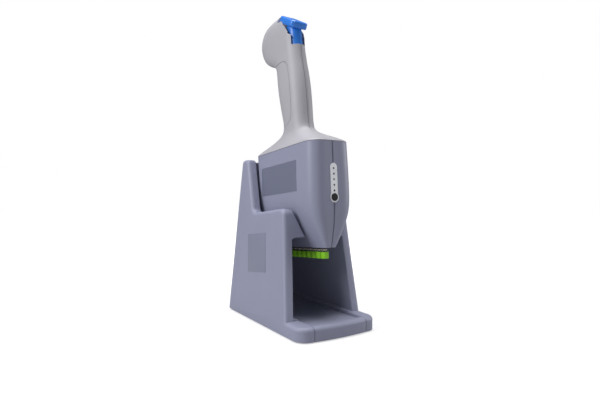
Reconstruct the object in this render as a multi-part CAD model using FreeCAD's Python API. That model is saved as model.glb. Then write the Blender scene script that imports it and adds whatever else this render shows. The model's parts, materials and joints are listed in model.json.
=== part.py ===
"""Eight-channel screw-cap decapper standing in its dock.

Origin: on the bench, under the middle of the dock, in the plane of the tool's seam.
+X is to the user's right, +Y runs to the back of the dock, +Z is up.
The dock is drawn from its front edge back and moved onto the origin when it is written.
The tool is drawn upright in a frame of its own, with its lower edge at height 0 and the
middle of its row of spindles at y = 0, and is then leaned back and set into the dock.
"""
import FreeCAD, Part
import math
import os

Vec = FreeCAD.Vector

# Overall sizes of the dock
DOCK_DEPTH = 162.5
DOCK_HALF_WIDTH = 48.6
BASE_BOTTOM_Z = 1.0
BASE_TOP_Z = 15.0
BASE_CORNER_R = 13.0
BASE_EDGE_R = 4.0
FRONT_BOW = 2.2
SPLIT_X = 32.5
SPLIT_GAP = 0.3

# Side walls of the dock
WALL_THICK = 10.5
WALL_INNER_X = 38.2
WALL_LEAN_DEG = 4.1
WALL_FRONT_Y = 30.4
WALL_FRONT_SLOPE = 0.142
SHELF_FRONT_Z = 128.0
SHELF_BACK_Z = 121.0
SHELF_FRONT_R = 8.0
SHELF_BACK_R = 8.0
POST_FOOT_Y = 111.5
POST_FRONT_SLOPE = 0.33
POST_TOP_Z = 183.0
POST_BACK_Y = 147.5
POST_TOP_R = 5.0
WALL_EDGE_R = 4.0
WALL_INNER_EDGE_R = 1.0

# Cradle rails that carry the tool between the walls
RAIL_TIP_X = 17.0
RAIL_TIP_H = 11.5
RAIL_TOP_X = 30.5
RAIL_TOP_H = 40.0
RAIL_CORNER_R = 5.0
RAIL_BACK_Y = 76.0
PAD_FRONT_Y = -14.0
PAD_BACK_Y = 38.0
PAD_LOW_H = 15.0
PAD_HIGH_H = 31.0
PAD_GAP = 0.3

# Tray, back wall, base plate and feet
TRAY_FLOOR_Z = 12.0
TRAY_FLOOR_THICK = 3.0
TRAY_LIP = 9.0
LEDGE_TOP_Z = 16.0
BACK_WALL_THICK = 4.0
BACK_WALL_TOP_Z = 172.0
BACK_WALL_INSET = 3.0
PLATE_THICK = 2.0
PLATE_MARGIN = 5.0
PLATE_GAP = 0.3
FOOT_R = 6.0
FOOT_THICK = 1.5
FOOT_INSET = 11.0
BASE_SCREW_R = 1.5
BASE_SCREW_HEAD_R = 3.0
BASE_SCREW_HEAD = 1.2
BASE_SCREW_LENGTH = 9.0
INLET_R = 4.5
INLET_HOLE_R = 2.75
INLET_LENGTH = 9.0
INLET_Z = 26.0

# How the tool stands in the dock
TOOL_TO_BACK = 100.5
TOOL_Y = DOCK_DEPTH - TOOL_TO_BACK
TOOL_Z = 85.0
TOOL_LEAN_DEG = 4.5

# Shells of the tool
SHELL_WALL = 2.4
RIM_H = 107.0
HEAD_FLOOR = 2.0
HALF_GAP = 0.05

# Each section: front y, back y, half width, height, then the radii of the front and the rear
# corners as shares of the half width
HEAD_SECTIONS = [
    (-46.3, 50.2, 8.8, 0.0, 0.6, 0.3),
    (-49.3, 53.4, 17.6, 19.0, 0.6, 0.25),
    (-50.7, 55.4, 23.2, 32.5, 0.6, 0.2),
    (-51.2, 56.4, 25.0, 42.0, 0.6, 0.2),
    (-51.5, 58.0, 25.1, 62.0, 0.6, 0.2),
    (-51.5, 60.8, 24.0, RIM_H, 0.6, 0.2),
]
HANDLE_SECTIONS = [
    (-51.5, 60.8, 24.0, RIM_H, 0.6, 0.2),
    (-49.5, 58.8, 22.9, 108.5, 0.62, 0.22),
    (-36.0, 46.5, 17.8, 116.0, 0.72, 0.4),
    (-22.0, 35.5, 14.6, 123.0, 0.85, 0.65),
    (-14.0, 28.8, 13.0, 129.5, 0.95, 0.85),
    (-11.6, 27.4, 12.6, 136.0, 0.97, 0.97),
    (-10.8, 33.4, 13.2, 156.0, 0.97, 0.97),
    (-9.6, 38.2, 13.2, 176.0, 0.97, 0.97),
    (-7.1, 40.6, 12.3, 193.0, 0.97, 0.97),
    (-4.4, 41.2, 11.7, 207.0, 0.97, 0.97),
    (-3.4, 46.0, 11.7, 213.0, 0.97, 0.97),
    (-2.8, 56.5, 11.8, 217.5, 0.97, 0.97),
    (-2.3, 66.5, 12.0, 225.5, 0.97, 0.97),
    (-2.3, 72.6, 12.2, 237.0, 0.97, 0.97),
    (-2.3, 73.2, 12.0, 247.0, 0.97, 0.97),
    (0.0, 68.5, 10.6, 257.0, 0.97, 0.97),
    (8.0, 60.5, 7.6, 263.0, 0.97, 0.97),
    (20.0, 51.0, 3.6, 265.6, 0.97, 0.97),
]

# Row of spindles and their gears
CHANNELS = 8
PITCH = 9.0
GEAR_TEETH = 14
GEAR_MODULE = 0.5
GEAR_LOW_H = 13.5
GEAR_THICK = 4.5
TOOTH_PITCH_WIDTH = 0.66
TOOTH_TIP_WIDTH = 0.34
TOOTH_ROOT_WIDTH = 1.0
TOOTH_TIP_RISE = 0.46
TOOTH_ROOT_DROP = 0.62
JOURNAL_R = 1.5
JOURNAL_GAP = 0.05
LOW_PLATE_H = 8.0
LOW_PLATE_THICK = 4.0
HIGH_PLATE_H = 19.5
HIGH_PLATE_THICK = 3.5
PLATE_CORNER_R = 5.0
PLATE_RUN = 0.25
SHAFT_END_GAP = 0.3
BIT_R = 2.5
BIT_FLUTES = 6
BIT_TOP_H = 6.5
BIT_TIP_H = -9.0
CAP_R = 4.1
CAP_TOP_H = -4.3
CAP_HEIGHT = 7.2
CAP_RIBS = 12
CAP_RIB_DEPTH = 0.3
CAP_SOCKET_GAP = 0.12

# Ejector, key and rod
EJECT_TRAVEL = 6.0
EJECTOR_LOW_H = 2.2
EJECTOR_THICK = 2.4
EJECTOR_HALF_WIDTH = 4.6
EJECTOR_ROD_R = 1.8
EJECTOR_ROD_Y = 38.6
EJECTOR_RUN = 0.3
YOKE_H = 80.0
YOKE_THICK = 4.0
YOKE_HALF_WIDTH = 4.0
KEY_LEAN_DEG = 5.0
KEY_SLOPE_DEG = 33.0
KEY_BACK_Y = 22.2
KEY_BACK_H = 262.0
KEY_LENGTH = 31.0
KEY_HALF_WIDTH = 10.5
KEY_THICK = 5.4
KEY_CORNER_R = 5.0
KEY_EDGE_R = 1.6
KEY_RUN = 0.4
STEM_FRONT_Y = -3.0
STEM_BACK_Y = 11.0
STEM_HALF_WIDTH = 7.6
STEM_FOOT_H = 206.0
STEM_LIP_H = 227.5
STEM_SETBACK = 3.6
SLOT_FLOOR_H = 221.0
SLOT_SIDE = 1.4
SLOT_BACK_Y = 13.4
KEY_ROD_R = 1.5
KEY_ROD_Y = 3.2
KEY_ROD_GRIP = 5.0
ROD_FIT = 0.03
GUIDE_H = 202.5
GUIDE_THICK = 9.5
GUIDE_RUN = 0.3
SPRING_R = 3.2
SPRING_WIRE = 0.8
SPRING_LENGTH = 16.0
SPRING_TURNS = 5

# Status strip, button and board
STRIP_HALF_WIDTH = 4.2
STRIP_DEPTH = 1.3
STRIP_PROUD = 0.25
BUTTON_H = 50.5
STRIP_TOP_H = BUTTON_H + 34.2
BUTTON_R = 3.85
BUTTON_RING_R = 5.2
BUTTON_TRAVEL = 1.0
BUTTON_PROUD = 0.6
LENS_R = 0.8
LENS_ABOVE_BUTTON = 6.7
LENS_PITCH = 5.55
LENSES = 5
BOARD_Y = -43.6
BOARD_THICK = 1.6
BOARD_HALF_WIDTH = 12.0
BOARD_LOW_H = 44.0
BOARD_HIGH_H = 92.0

# Drive and battery
MOTOR_R = 8.0
GEARBOX_LENGTH = 17.0
MOTOR_LENGTH = 30.0
BATTERY_R = 9.2
BATTERY_LENGTH = 65.0
BATTERY_FOOT_Y = 11.0
BATTERY_FOOT_H = 136.0
BATTERY_LEAN_DEG = 7.0

# Rear grip panel
GRIP_EDGE_Y = 2.6
GRIP_LOW_H = 135.5
GRIP_HIGH_H = 205.5
GRIP_CORNER_R = 8.0
GRIP_DEPTH = 1.1
GRIP_GROOVE = 0.35

# Screws of the shells and contacts for charging
SCREW_R = 1.3
SCREW_HEAD_R = 2.4
SCREW_HEAD = 1.8
SCREW_DEPTH = 6.0
BOSS_R = 3.0
SHELL_BOSSES = [(47.5, 36.0), (-36.0, 99.0), (50.0, 98.0), (27.6, 150.0), (52.0, 241.3)]
CONTACT_H = 20.0
CONTACT_X = 5.0
CONTACT_SIZE = 5.0
CONTACT_THICK = 1.2
CONTACT_GAP = 0.3
BLOCK_HALF_WIDTH = 12.0
BLOCK_HEIGHT = 14.0
PIN_R = 1.2
PIN_PROUD = 2.0


def box(x0, x1, y0, y1, z0, z1):
    return Part.makeBox(x1 - x0, y1 - y0, z1 - z0, Vec(x0, y0, z0))


def cylinder(radius, length, base, direction=Vec(0, 0, 1)):
    return Part.makeCylinder(radius, length, base, direction)


def fuse(shapes):
    joined = shapes[0].multiFuse(shapes[1:])
    return joined.removeSplitter()


def mirrored(shape):
    """The same piece on the other side of the seam plane."""
    return shape.mirror(Vec(0, 0, 0), Vec(1, 0, 0))


def side_profile(points, thickness, x_start):
    """Plate with a rounded outline in the YZ plane; each point is (y, z, corner radius)."""
    edges = []
    count = len(points)
    joints = []
    for i in range(count):
        here = Vec(0, points[i][0], points[i][1])
        before = Vec(0, points[i - 1][0], points[i - 1][1])
        after = Vec(0, points[(i + 1) % count][0], points[(i + 1) % count][1])
        to_before = (before - here).normalize()
        to_after = (after - here).normalize()
        radius = points[i][2]
        if radius == 0:
            joints.append((here, here, None))
            continue
        half_angle = to_before.getAngle(to_after) / 2
        reach = radius / math.tan(half_angle)
        middle = (to_before + to_after).normalize()
        peak = here + middle * (radius / math.sin(half_angle) - radius)
        joints.append((here + to_before * reach, here + to_after * reach, peak))
    for i in range(count):
        start, end, peak = joints[i]
        if peak is not None:
            edges.append(Part.Arc(start, peak, end).toShape())
        following = joints[(i + 1) % count][0]
        edges.append(Part.LineSegment(end, following).toShape())
    face = Part.Face(Part.Wire(edges))
    plate = face.extrude(Vec(thickness, 0, 0))
    plate.translate(Vec(x_start, 0, 0))
    return plate


def edges_where(shape, test):
    """Edges whose both ends and middle pass the test."""
    chosen = []
    for edge in shape.Edges:
        middle = edge.valueAt((edge.FirstParameter + edge.LastParameter) / 2)
        points = [vertex.Point for vertex in edge.Vertexes] + [middle]
        if all(test(point) for point in points):
            chosen.append(edge)
    return chosen


def corner_turns(front, back, half, height, front_share, rear_share, inset):
    """Start, middle and end of each rounded corner of the tool's outline at one height."""
    low_y = front + inset
    high_y = back - inset
    side = half - inset
    turns = []
    for x_sign, y_sign in ((1, -1), (1, 1), (-1, 1), (-1, -1)):
        radius = max((front_share if y_sign < 0 else rear_share) * half - inset, 0.5)
        short = radius * (1 - math.sqrt(0.5))
        x_edge = x_sign * side
        y_edge = low_y if y_sign < 0 else high_y
        on_end = Vec(x_edge - x_sign * radius, y_edge, height)
        peak = Vec(x_edge - x_sign * short, y_edge - y_sign * short, height)
        on_side = Vec(x_edge, y_edge - y_sign * radius, height)
        turn = (on_end, peak, on_side) if x_sign * y_sign < 0 else (on_side, peak, on_end)
        turns.append(turn)
    return turns


def skin(sections, inset=0.0):
    """Housing through the sections, drawn in by the inset."""
    wires = []
    for section in sections:
        start = Vec(0, section[0] + inset, section[3])
        outline = []
        for turn in corner_turns(*section, inset):
            outline.append(Part.LineSegment(start, turn[0]).toShape())
            outline.append(Part.Arc(*turn).toShape())
            start = turn[2]
        outline.append(Part.LineSegment(start, Vec(0, section[0] + inset, section[3])).toShape())
        wires.append(Part.Wire(outline))
    return Part.makeLoft(wires, True, True)


def hollow_room(sections, inset):
    """Flat-sided space inside the housing, at least the inset away from its surface."""
    wires = []
    for section in sections:
        points = [point for turn in corner_turns(*section, inset) for point in turn]
        wires.append(Part.makePolygon(points + [points[0]]))
    return Part.makeLoft(wires, True, True)


def place_tool(shape):
    """From the tool's upright frame into the dock."""
    placed = shape.copy()
    placed.rotate(Vec(0, 0, 0), Vec(1, 0, 0), -TOOL_LEAN_DEG)
    placed.translate(Vec(0, TOOL_Y, TOOL_Z))
    return placed


def head_half_width(height):
    """Half width of the head by straight steps between its sections."""
    for low, high in zip(HEAD_SECTIONS, HEAD_SECTIONS[1:]):
        if low[3] <= height <= high[3]:
            share = (height - low[3]) / (high[3] - low[3])
            return low[2] + share * (high[2] - low[2])
    return HEAD_SECTIONS[-1][2]


def head_back(height):
    """Back of the head by straight steps between its sections."""
    for low, high in zip(HEAD_SECTIONS, HEAD_SECTIONS[1:]):
        if low[3] <= height <= high[3]:
            share = (height - low[3]) / (high[3] - low[3])
            return low[1] + share * (high[1] - low[1])
    return HEAD_SECTIONS[-1][1]


def back_slope():
    """How far the back edge of the dock leans forward for each millimetre of height."""
    return (DOCK_DEPTH - POST_BACK_Y) / (POST_TOP_Z - BASE_BOTTOM_Z)


def wall_points():
    """Side outline of a dock wall, from the foot of its front edge round to its back."""
    front_top_y = WALL_FRONT_Y + WALL_FRONT_SLOPE * (SHELF_FRONT_Z - BASE_TOP_Z)
    post_top_y = POST_FOOT_Y + POST_FRONT_SLOPE * (POST_TOP_Z - SHELF_BACK_Z)
    return [
        (WALL_FRONT_Y - WALL_FRONT_SLOPE * (BASE_TOP_Z - BASE_BOTTOM_Z), BASE_BOTTOM_Z, 0),
        (front_top_y, SHELF_FRONT_Z, SHELF_FRONT_R),
        (POST_FOOT_Y, SHELF_BACK_Z, SHELF_BACK_R),
        (post_top_y, POST_TOP_Z, POST_TOP_R),
        (POST_BACK_Y, POST_TOP_Z, POST_TOP_R),
        (DOCK_DEPTH, BASE_BOTTOM_Z, 0),
    ]


def lean_in(shape):
    """Tip a wall on the right-hand side so that its top comes towards the seam plane."""
    leaned = shape.copy()
    leaned.rotate(Vec(WALL_INNER_X, 0, BASE_TOP_Z), Vec(0, 1, 0), -WALL_LEAN_DEG)
    return leaned


def dock_wall():
    """One side wall with its rounded edges, on the right-hand side."""
    plate = side_profile(wall_points(), WALL_THICK, WALL_INNER_X)
    for face_x, radius in ((WALL_INNER_X + WALL_THICK, WALL_EDGE_R),
                           (WALL_INNER_X, WALL_INNER_EDGE_R)):
        rim = edges_where(plate, lambda p: abs(p.x - face_x) < 1e-6)
        rim = [edge for edge in rim if edge.BoundBox.ZMax > BASE_TOP_Z]
        plate = plate.makeFillet(radius, rim)
    wall = lean_in(plate)
    return wall.common(box(0, DOCK_HALF_WIDTH, -10, DOCK_DEPTH + 10, 0, POST_TOP_Z + 10))


def base_outline(x_edge, front_y, back_y, corner_r):
    """Right-hand half of the base seen from above, with a bowed front edge."""
    corner = Vec(x_edge - corner_r * (1 - math.sqrt(0.5)), front_y + FRONT_BOW
                 + corner_r * (1 - math.sqrt(0.5)), 0)
    front_mid = Vec(0, front_y, 0)
    bow_y = front_y + FRONT_BOW
    bow = Part.Arc(front_mid, Vec((x_edge - corner_r) / 2, front_y + FRONT_BOW / 4, 0),
                   Vec(x_edge - corner_r, bow_y, 0)).toShape()
    round_front = Part.Arc(Vec(x_edge - corner_r, bow_y, 0), corner,
                           Vec(x_edge, bow_y + corner_r, 0)).toShape()
    back_r = corner_r / 2
    round_back = Part.Arc(Vec(x_edge, back_y - back_r, 0),
                          Vec(x_edge - back_r * (1 - math.sqrt(0.5)),
                              back_y - back_r * (1 - math.sqrt(0.5)), 0),
                          Vec(x_edge - back_r, back_y, 0)).toShape()
    side = Part.LineSegment(Vec(x_edge, bow_y + corner_r, 0), Vec(x_edge, back_y - back_r, 0))
    back = Part.LineSegment(Vec(x_edge - back_r, back_y, 0), Vec(0, back_y, 0))
    middle = Part.LineSegment(Vec(0, back_y, 0), front_mid)
    return Part.Wire([bow, round_front, side.toShape(), round_back, back.toShape(),
                      middle.toShape()])


def base_block():
    """Right-hand half of the base with its rounded upper edge."""
    back_y = DOCK_DEPTH - back_slope() * (BASE_TOP_Z - BASE_BOTTOM_Z)
    outline = base_outline(DOCK_HALF_WIDTH, 0, back_y, BASE_CORNER_R)
    block = Part.Face(outline).extrude(Vec(0, 0, BASE_TOP_Z - BASE_BOTTOM_Z))
    block.translate(Vec(0, 0, BASE_BOTTOM_Z))
    rim = edges_where(block, lambda p: abs(p.z - BASE_TOP_Z) < 1e-6)
    rim = [edge for edge in rim if edge.BoundBox.XMax > 1e-3]
    return block.makeFillet(BASE_EDGE_R, rim)


def cradle_rail():
    """Sloping rail on the right-hand wall, in the tool's upright frame."""
    far_x = WALL_INNER_X
    drop = RAIL_TIP_H
    outline = [Vec(RAIL_TIP_X, 0, drop), Vec(RAIL_TOP_X, 0, RAIL_TOP_H),
               Vec(far_x, 0, RAIL_TOP_H), Vec(far_x, 0, drop - RAIL_CORNER_R),
               Vec(far_x - RAIL_CORNER_R, 0, drop - RAIL_CORNER_R / 3),
               Vec(far_x - 2 * RAIL_CORNER_R, 0, drop)]
    face = Part.Face(Part.makePolygon(outline + [outline[0]]))
    rail = face.extrude(Vec(0, RAIL_BACK_Y + TOOL_Y, 0))
    rail.translate(Vec(0, -TOOL_Y, 0))
    return rail


def base_plate_space(gap, low_z):
    """Space of the base plate from a height up, drawn out by the gap."""
    x_edge = DOCK_HALF_WIDTH - PLATE_MARGIN + gap
    outline = base_outline(x_edge, PLATE_MARGIN - gap, DOCK_DEPTH - PLATE_MARGIN + gap,
                           BASE_CORNER_R - PLATE_MARGIN + gap)
    half = Part.Face(outline).extrude(Vec(0, 0, FOOT_THICK + PLATE_THICK + gap - low_z))
    half.translate(Vec(0, 0, low_z))
    return fuse([half, mirrored(half)])


def base_screw_places():
    """Screws into the walls' feet, the end ones just clear of the rubber feet."""
    near = FOOT_INSET + 2 * FOOT_R + BASE_SCREW_HEAD_R
    far = DOCK_DEPTH - near
    x_place = WALL_INNER_X + 2
    return [(side * x_place, y) for side in (-1, 1) for y in (near, DOCK_DEPTH / 2, far)]


def dock_side():
    """Right-hand side of the dock: wall, post, foot and cradle rail in one moulding."""
    wall = dock_wall()
    foot = base_block().cut(box(-1, SPLIT_X + SPLIT_GAP / 2, -5, DOCK_DEPTH + 5, 0, BASE_TOP_Z + 5))
    ledge = box(SPLIT_X + SPLIT_GAP / 2, WALL_INNER_X + 1, WALL_FRONT_Y + 1,
                back_wall_foot(), BASE_TOP_Z - 2, LEDGE_TOP_Z)
    rail = place_tool(cradle_rail())
    envelope = side_profile(wall_points(), WALL_INNER_X, 0)
    rail = rail.common(envelope)
    side_space = lean_in(box(-60, WALL_INNER_X + WALL_THICK / 2, -10, DOCK_DEPTH + 10, 0, 200))
    rail = rail.common(side_space)
    body = fuse([wall, foot, ledge, rail])
    body = body.cut(base_plate_space(PLATE_GAP, 0))
    pilot = [cylinder(BASE_SCREW_R, BASE_SCREW_LENGTH, Vec(x, y, FOOT_THICK))
             for x, y in base_screw_places() if x > 0]
    return body.cut(Part.makeCompound(pilot))


def floor_tray():
    """Tray between the sides, with a raised front lip."""
    half = base_block()
    rear = back_wall_foot() - back_slope() * (TRAY_FLOOR_Z - BASE_BOTTOM_Z)
    half = half.common(box(-1, SPLIT_X - SPLIT_GAP / 2, -5, rear, 0, BASE_TOP_Z + 5))
    tray = fuse([half, mirrored(half)])
    recess = side_profile([
        (TRAY_LIP, BASE_TOP_Z + 1, 0),
        (TRAY_LIP, BASE_TOP_Z, 0),
        (TRAY_LIP + 4, TRAY_FLOOR_Z, 2.0),
        (back_wall_foot() + 1, TRAY_FLOOR_Z, 0),
        (back_wall_foot() + 1, BASE_TOP_Z + 1, 0)], 2 * SPLIT_X, -SPLIT_X)
    hollow_half = SPLIT_X - 3 * SPLIT_GAP - 3
    hollow = box(-hollow_half, hollow_half, PLATE_MARGIN + 3, back_wall_foot() - 3,
                 0, TRAY_FLOOR_Z - TRAY_FLOOR_THICK)
    tray = tray.cut(recess)
    tray = tray.cut(hollow)
    return tray.cut(base_plate_space(PLATE_GAP, 0))


def back_wall_foot():
    return DOCK_DEPTH - BACK_WALL_INSET - BACK_WALL_THICK


def back_wall():
    """Leaning wall that closes the dock between its sides."""
    foot = back_wall_foot() + SPLIT_GAP
    slope = back_slope()
    top = foot - slope * (BACK_WALL_TOP_Z - BASE_BOTTOM_Z)
    plate = side_profile([
        (foot, FOOT_THICK + PLATE_THICK + PLATE_GAP, 0),
        (top, BACK_WALL_TOP_Z, 1.5),
        (top + BACK_WALL_THICK, BACK_WALL_TOP_Z, 1.5),
        (foot + BACK_WALL_THICK, FOOT_THICK + PLATE_THICK + PLATE_GAP, 0)],
        2 * WALL_INNER_X + 4, -WALL_INNER_X - 2)
    inside = lean_in(box(-60, WALL_INNER_X, -10, DOCK_DEPTH + 10, 0, 200))
    inside = inside.common(mirrored(inside))
    plate = plate.common(inside)
    ledges = box(SPLIT_X - SPLIT_GAP / 2, 60, 0, DOCK_DEPTH + 5, 0, LEDGE_TOP_Z)
    plate = plate.cut(ledges)
    plate = plate.cut(mirrored(ledges))
    hole = cylinder(INLET_R, 2 * INLET_LENGTH, Vec(0, inlet_outer_y() - INLET_LENGTH, INLET_Z),
                    Vec(0, 1, 0))
    return plate.cut(hole)


def inlet_outer_y():
    """Where the leaning back wall's outer face stands at the height of the inlet."""
    foot = back_wall_foot() + SPLIT_GAP + BACK_WALL_THICK
    return foot - back_slope() * (INLET_Z - BASE_BOTTOM_Z)


def power_inlet():
    """Round socket for the supply lead, set into the back wall."""
    outer_y = inlet_outer_y()
    barrel = cylinder(INLET_R, INLET_LENGTH, Vec(0, outer_y - INLET_LENGTH, INLET_Z), Vec(0, 1, 0))
    well = cylinder(INLET_HOLE_R, INLET_LENGTH - 2, Vec(0, outer_y - INLET_LENGTH + 2, INLET_Z),
                    Vec(0, 1, 0))
    pin = cylinder(INLET_HOLE_R / 3, INLET_LENGTH - 3, Vec(0, outer_y - INLET_LENGTH + 1, INLET_Z),
                   Vec(0, 1, 0))
    return fuse([barrel.cut(well), pin])


def rubber_feet():
    x_place = DOCK_HALF_WIDTH - FOOT_INSET - FOOT_R / 2
    near = FOOT_INSET + FOOT_R
    return [cylinder(FOOT_R, FOOT_THICK, Vec(side * x_place, y, 0))
            for side in (-1, 1) for y in (near, DOCK_DEPTH - near)]


def base_screws():
    screws = []
    for x, y in base_screw_places():
        head = cylinder(BASE_SCREW_HEAD_R, BASE_SCREW_HEAD, Vec(x, y, FOOT_THICK - BASE_SCREW_HEAD))
        shank = cylinder(BASE_SCREW_R, BASE_SCREW_LENGTH, Vec(x, y, FOOT_THICK))
        screws.append(fuse([head, shank]))
    return screws


def base_plate():
    holes = [cylinder(BASE_SCREW_R, 4 * PLATE_THICK, Vec(x, y, 0)) for x, y in base_screw_places()]
    return base_plate_space(0, FOOT_THICK).cut(Part.makeCompound(holes))


def cradle_pads():
    """Soft strips on the rails that the head's sloping sides rest on."""
    slope = (RAIL_TOP_X - RAIL_TIP_X) / (RAIL_TOP_H - RAIL_TIP_H)
    rail_low = RAIL_TIP_X + slope * (PAD_LOW_H - RAIL_TIP_H)
    rail_high = RAIL_TIP_X + slope * (PAD_HIGH_H - RAIL_TIP_H)
    outline = [Vec(head_half_width(PAD_LOW_H) + PAD_GAP, 0, PAD_LOW_H),
               Vec(head_half_width(PAD_HIGH_H) + PAD_GAP, 0, PAD_HIGH_H),
               Vec(rail_high, 0, PAD_HIGH_H), Vec(rail_low, 0, PAD_LOW_H)]
    face = Part.Face(Part.makePolygon(outline + [outline[0]]))
    pad = face.extrude(Vec(0, PAD_BACK_Y - PAD_FRONT_Y, 0))
    pad.translate(Vec(0, PAD_FRONT_Y, 0))
    return [place_tool(pad), place_tool(mirrored(pad))]


def charge_block():
    """Block on the back wall that carries the charging pins."""
    front = head_back(CONTACT_H) + CONTACT_GAP + PIN_PROUD
    block = box(-BLOCK_HALF_WIDTH, BLOCK_HALF_WIDTH, front, front + 60,
                CONTACT_H - BLOCK_HEIGHT / 2, CONTACT_H + BLOCK_HEIGHT / 2)
    block = place_tool(block)
    foot = back_wall_foot() + SPLIT_GAP
    slope = back_slope()
    room = side_profile([(0, 0, 0), (0, 200, 0), (foot - slope * (200 - BASE_BOTTOM_Z), 200, 0),
                         (foot - slope * (0 - BASE_BOTTOM_Z), 0, 0)], 100, -50)
    return block.common(room)


def charge_pins():
    front = head_back(CONTACT_H) + CONTACT_GAP
    pins = []
    for side in (-1, 1):
        pin = cylinder(PIN_R, PIN_PROUD, Vec(side * CONTACT_X, front, CONTACT_H), Vec(0, 1, 0))
        pins.append(place_tool(pin))
    return pins


def right_half(shape):
    return shape.common(box(HALF_GAP / 2, 80, -100, 120, -20, 300))


def left_half(shape):
    return shape.common(box(-80, -HALF_GAP / 2, -100, 120, -20, 300))


def strip_prism(extra=0.0):
    """Outline of the status strip, run through the front of the head."""
    half = STRIP_HALF_WIDTH + extra
    slot_low = cylinder(BUTTON_RING_R + extra, 20, Vec(0, -60, BUTTON_H), Vec(0, 1, 0))
    top_h = STRIP_TOP_H - STRIP_HALF_WIDTH
    slot_high = cylinder(half, 20, Vec(0, -60, top_h), Vec(0, 1, 0))
    bar = box(-half, half, -60, -40, BUTTON_H, top_h)
    return fuse([slot_low, slot_high, bar])


def lens_places():
    return [BUTTON_H + LENS_ABOVE_BUTTON + i * LENS_PITCH for i in range(LENSES)]


def ejector_window(extra=0.0):
    """Opening in the floor of the head that the stripper plate fills."""
    reach = EJECTOR_ROD_Y + EJECTOR_ROD_R + 1 + extra
    half = EJECTOR_HALF_WIDTH + extra
    return box(-half, half, -reach, reach, -5, HEAD_FLOOR + 5)


def boss_pair():
    """Screw bosses that meet at the seam plane."""
    return [cylinder(BOSS_R, 60, Vec(-30, y, h), Vec(1, 0, 0)) for y, h in SHELL_BOSSES]


def screw_seat(y, h, outer_x):
    """Screw along X with its head sunk below the right-hand surface."""
    head_x = outer_x - SCREW_HEAD - 0.8
    shank = cylinder(SCREW_R, head_x + SCREW_DEPTH, Vec(-SCREW_DEPTH, y, h), Vec(1, 0, 0))
    head = cylinder(SCREW_HEAD_R, SCREW_HEAD, Vec(head_x, y, h), Vec(1, 0, 0))
    return fuse([shank, head])


def surface_x(skin_shape, y, h):
    """Distance from the seam plane to the right-hand surface at a point."""
    probe = Part.makeLine(Vec(0, y, h), Vec(60, y, h))
    return skin_shape.common(probe).BoundBox.XMax


def key_axis():
    """Direction in which the key is pressed."""
    lean = math.radians(KEY_LEAN_DEG)
    return Vec(0, -math.sin(lean), -math.cos(lean))


def key_plate(half_width, thickness, drop=0.0):
    """Sloping thumb plate with rounded corners; drop lowers its underside only."""
    slope = math.radians(KEY_SLOPE_DEG)
    plate = box(-half_width, half_width, -KEY_LENGTH, 0, -thickness - drop, 0)
    upright = [edge for edge in plate.Edges if abs(edge.Vertexes[0].Z - edge.Vertexes[-1].Z) > 1]
    plate = plate.makeFillet(KEY_CORNER_R, upright)
    plate.rotate(Vec(0, 0, 0), Vec(1, 0, 0), math.degrees(slope))
    plate.translate(Vec(0, KEY_BACK_Y, KEY_BACK_H))
    return plate


def key_stem(extra, setback, foot_h, top_h):
    """Upright stem of the key with a rounded front, leaning with the handle."""
    front = STEM_FRONT_Y + setback - extra
    back = STEM_BACK_Y + extra
    half = STEM_HALF_WIDTH + extra
    nose = half
    arc = Part.Arc(Vec(-half, front + nose, 0), Vec(0, front, 0), Vec(half, front + nose, 0))
    outline = Part.Wire([arc.toShape(),
                         Part.LineSegment(Vec(half, front + nose, 0), Vec(half, back, 0)).toShape(),
                         Part.LineSegment(Vec(half, back, 0), Vec(-half, back, 0)).toShape(),
                         Part.LineSegment(Vec(-half, back, 0), Vec(-half, front + nose, 0)).toShape()])
    face = Part.Face(outline)
    axis = key_axis()
    up = Vec(-axis.x, -axis.y, -axis.z)
    shift = (foot_h - SLOT_FLOOR_H) / up.z
    face.translate(Vec(0, up.y * shift, foot_h))
    return face.extrude(up * ((top_h - foot_h) / up.z))


def eject_key():
    """Thumb plate and stem in one piece."""
    plate = key_plate(KEY_HALF_WIDTH, KEY_THICK)
    rim = [edge for edge in plate.Edges if edge.Length > 0.1]
    plate = plate.makeFillet(KEY_EDGE_R, rim)
    stem = key_stem(0, 0, STEM_LIP_H, KEY_BACK_H)
    under = key_plate(KEY_HALF_WIDTH, KEY_THICK, 60)
    stem = stem.common(under)
    tail = key_stem(0, STEM_SETBACK, STEM_FOOT_H, STEM_LIP_H)
    key = fuse([plate, stem, tail])
    socket = cylinder(KEY_ROD_R + ROD_FIT, KEY_ROD_GRIP + 2, rod_point(STEM_FOOT_H - 1),
                      key_axis() * -1)
    return key.cut(socket)


def rod_point(height):
    """Point of the key rod's centre line at a height."""
    lean = math.tan(math.radians(KEY_LEAN_DEG))
    return Vec(0, KEY_ROD_Y + lean * (height - STEM_FOOT_H), height)


def key_rod():
    """Rod from the stem down to the yoke of the ejector."""
    foot = rod_point(YOKE_H + YOKE_THICK + KEY_ROD_R + 0.2)
    top = rod_point(STEM_FOOT_H + KEY_ROD_GRIP)
    rod = cylinder(KEY_ROD_R, foot.distanceToPoint(top), foot, key_axis() * -1)
    tip = Part.makeSphere(KEY_ROD_R, foot)
    return fuse([rod, tip])


def spring_seat():
    """Web across the handle that the return spring stands on."""
    centre = rod_point(STEM_FOOT_H - SPRING_LENGTH)
    web = box(-20, 20, centre.y - 12, centre.y + 5.4, centre.z - 2.5, centre.z)
    return web


def stem_guide():
    """Web across the handle that the stem of the key slides in."""
    return box(-20, 20, -20, STEM_BACK_Y + 5, GUIDE_H, GUIDE_H + GUIDE_THICK)


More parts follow.
